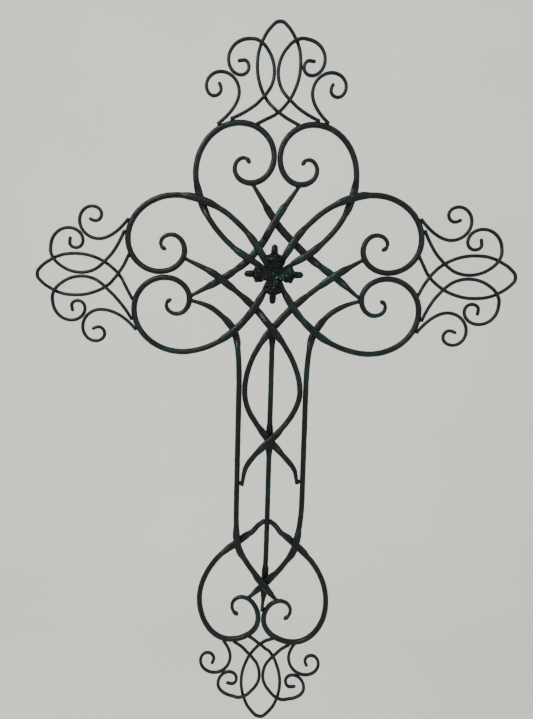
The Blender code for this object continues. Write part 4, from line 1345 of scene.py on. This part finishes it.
class IRONCROSS_OT_rivet(bpy.types.Operator):
    """Set the round-headed rivet in the rosette's cup"""
    bl_idname, bl_label = "ironcross.rivet", "Set the rivet"
    bl_options = {"REGISTER", "UNDO"}

    def execute(self, context):
        head = turned("rivet_head", dome_profile(), 48, cross_finish("rivet"), 0.008)
        belongs(head, "rivet_iron", "rosette_rivet")
        return {"FINISHED"}


class IRONCROSS_OT_welds(bpy.types.Operator):
    """Run beads of weld round the ends of the bars and the wires"""
    bl_idname, bl_label = "ironcross.welds", "Weld the joints"
    bl_options = {"REGISTER", "UNDO"}

    def execute(self, context):
        look, rods = context.scene.iron_forge, bent_rods().values()
        for thin, slot_name in ((False, "bar_iron"), (True, "wire_iron")):
            joints = [joint for rod in rods if rod.wire == thin for joint in rod.joints()]
            name = "wire_welds" if thin else "bar_welds"
            weld(name, joints, look, cross_finish("weld"), slot_name)
        return {"FINISHED"}


# The camera stands before the cross, a little above its middle, and looks slightly down and across
CAMERA_LENS = 28.04       # with 36 mm along the picture's long side
CAMERA_YAW, CAMERA_PITCH, CAMERA_ROLL = 0.0381, 0.1048, 0.0274
CAMERA_SHIFT = (0.0308, -0.3543, 2.3388)     # the rosette as the camera sees it, in arms


def set_camera():
    turn = Matrix.Rotation(CAMERA_ROLL, 3, "Z") @ Matrix.Rotation(CAMERA_PITCH, 3, "X")
    turn = turn @ Matrix.Rotation(CAMERA_YAW, 3, "Y")

    def upright(seen):
        return Vector((seen[0], seen[2], -seen[1]))

    place = upright(-(turn.transposed() @ Vector(CAMERA_SHIFT))) * ARM + Vector((0.0, 0.0, HUNG))
    axes = Matrix((upright(turn[0]), -upright(turn[1]), -upright(turn[2]))).transposed()
    camera = bpy.data.objects.new("studio_camera", bpy.data.cameras.new("studio_camera"))
    camera.data.lens, camera.data.sensor_width = CAMERA_LENS, 36.0
    camera.data.sensor_fit = "AUTO"
    camera.matrix_world = Matrix.Translation(place) @ axes.to_4x4()
    bpy.context.collection.objects.link(camera)
    bpy.context.scene.camera = camera
    return camera


def soft_light(name, place, aim, width, power, colour):
    lamp = bpy.data.lights.new(name, "AREA")
    lamp.shape, lamp.size, lamp.energy, lamp.color = "DISK", width, power, colour
    made = bpy.data.objects.new(name, lamp)
    made.location = place
    made.rotation_euler = (Vector(aim) - Vector(place)).to_track_quat("-Z", "Y").to_euler()
    bpy.context.collection.objects.link(made)
    return made


FLOOR, BACK, BEND = -1.7, 2.4, 0.8       # floor's height, backdrop's distance, radius between them


def paper_sweep(finish):
    """A floor that bends up into a backdrop."""
    line = [(-4.5, FLOOR)]
    line += [(BACK - BEND + BEND * math.sin(a), FLOOR + BEND - BEND * math.cos(a))
             for a in np.linspace(0.0, math.pi / 2, 25)]
    line.append((BACK, 3.6))
    half = 5.0
    points = [(side, y, z) for y, z in line for side in (-half, half)]
    faces = [(2 * k, 2 * k + 1, 2 * k + 3, 2 * k + 2) for k in range(len(line) - 1)]
    mesh = bpy.data.meshes.new("paper_sweep")
    mesh.from_pydata(points, [], faces)
    mesh.shade_smooth()
    mesh.materials.append(finish)
    sweep = bpy.data.objects.new("paper_sweep", mesh)
    bpy.context.collection.objects.link(sweep)
    return sweep


class IRONCROSS_OT_studio(bpy.types.Operator):
    """Set the pale sweep, the soft lights and the camera"""
    bl_idname, bl_label = "ironcross.studio", "Set the stage"
    bl_options = {"REGISTER", "UNDO"}

    def execute(self, context):
        look = context.scene.iron_studio
        paper_sweep(paper_finish(tuple(look.paper)))
        aim = (0.0, 0.0, HUNG - 0.1)
        soft_light("key_light", (-1.5, -1.9, 1.5), aim, 1.3, look.key, (1.0, 0.99, 0.96))
        soft_light("fill_light", (1.9, -1.7, 0.4), aim, 1.8, look.fill, (0.95, 0.98, 1.0))
        room = context.scene.world or bpy.data.worlds.new("studio_room")
        context.scene.world = room
        room.use_nodes = True
        even = room.node_tree.nodes.get("Background") or room.node_tree.nodes.new("ShaderNodeBackground")
        even.inputs["Color"].default_value = (0.80, 0.81, 0.79, 1.0)
        even.inputs["Strength"].default_value = look.sky
        set_camera()
        return {"FINISHED"}


STEPS = (
    IRONCROSS_OT_scrolls, IRONCROSS_OT_lattice, IRONCROSS_OT_leg, IRONCROSS_OT_upright, IRONCROSS_OT_finials,
    IRONCROSS_OT_welds, IRONCROSS_OT_rosette, IRONCROSS_OT_rivet, IRONCROSS_OT_studio,
)
SETTINGS = {
    "iron_forge": IRONCROSS_PG_forge, "iron_patina": IRONCROSS_PG_patina,
    "iron_rosette": IRONCROSS_PG_rosette, "iron_studio": IRONCROSS_PG_studio,
}


class IRONCROSS_PT_sidebar(bpy.types.Panel):
    """Everything that makes the cross, in order"""
    bl_label, bl_category = "Iron Cross", "Iron Cross"
    bl_space_type, bl_region_type = "VIEW_3D", "UI"

    def draw(self, context):
        for key, group in SETTINGS.items():
            box = self.layout.box()
            box.label(text=group.__doc__)
            for setting in group.__annotations__:
                box.prop(getattr(context.scene, key), setting)
        for step in STEPS:
            self.layout.operator(step.bl_idname)


def register():
    for group in SETTINGS.values():
        bpy.utils.register_class(group)
    for kind in STEPS + (IRONCROSS_PT_sidebar,):
        bpy.utils.register_class(kind)
    for key, group in SETTINGS.items():
        setattr(bpy.types.Scene, key, bpy.props.PointerProperty(type=group))


def unregister():
    for key in SETTINGS:
        delattr(bpy.types.Scene, key)
    for kind in (IRONCROSS_PT_sidebar,) + STEPS[::-1] + tuple(SETTINGS.values()):
        bpy.utils.unregister_class(kind)


def main():
    register()
    for step in STEPS:
        family, action = step.bl_idname.split(".")
        getattr(getattr(bpy.ops, family), action)()


if __name__ == "__main__":
    main()
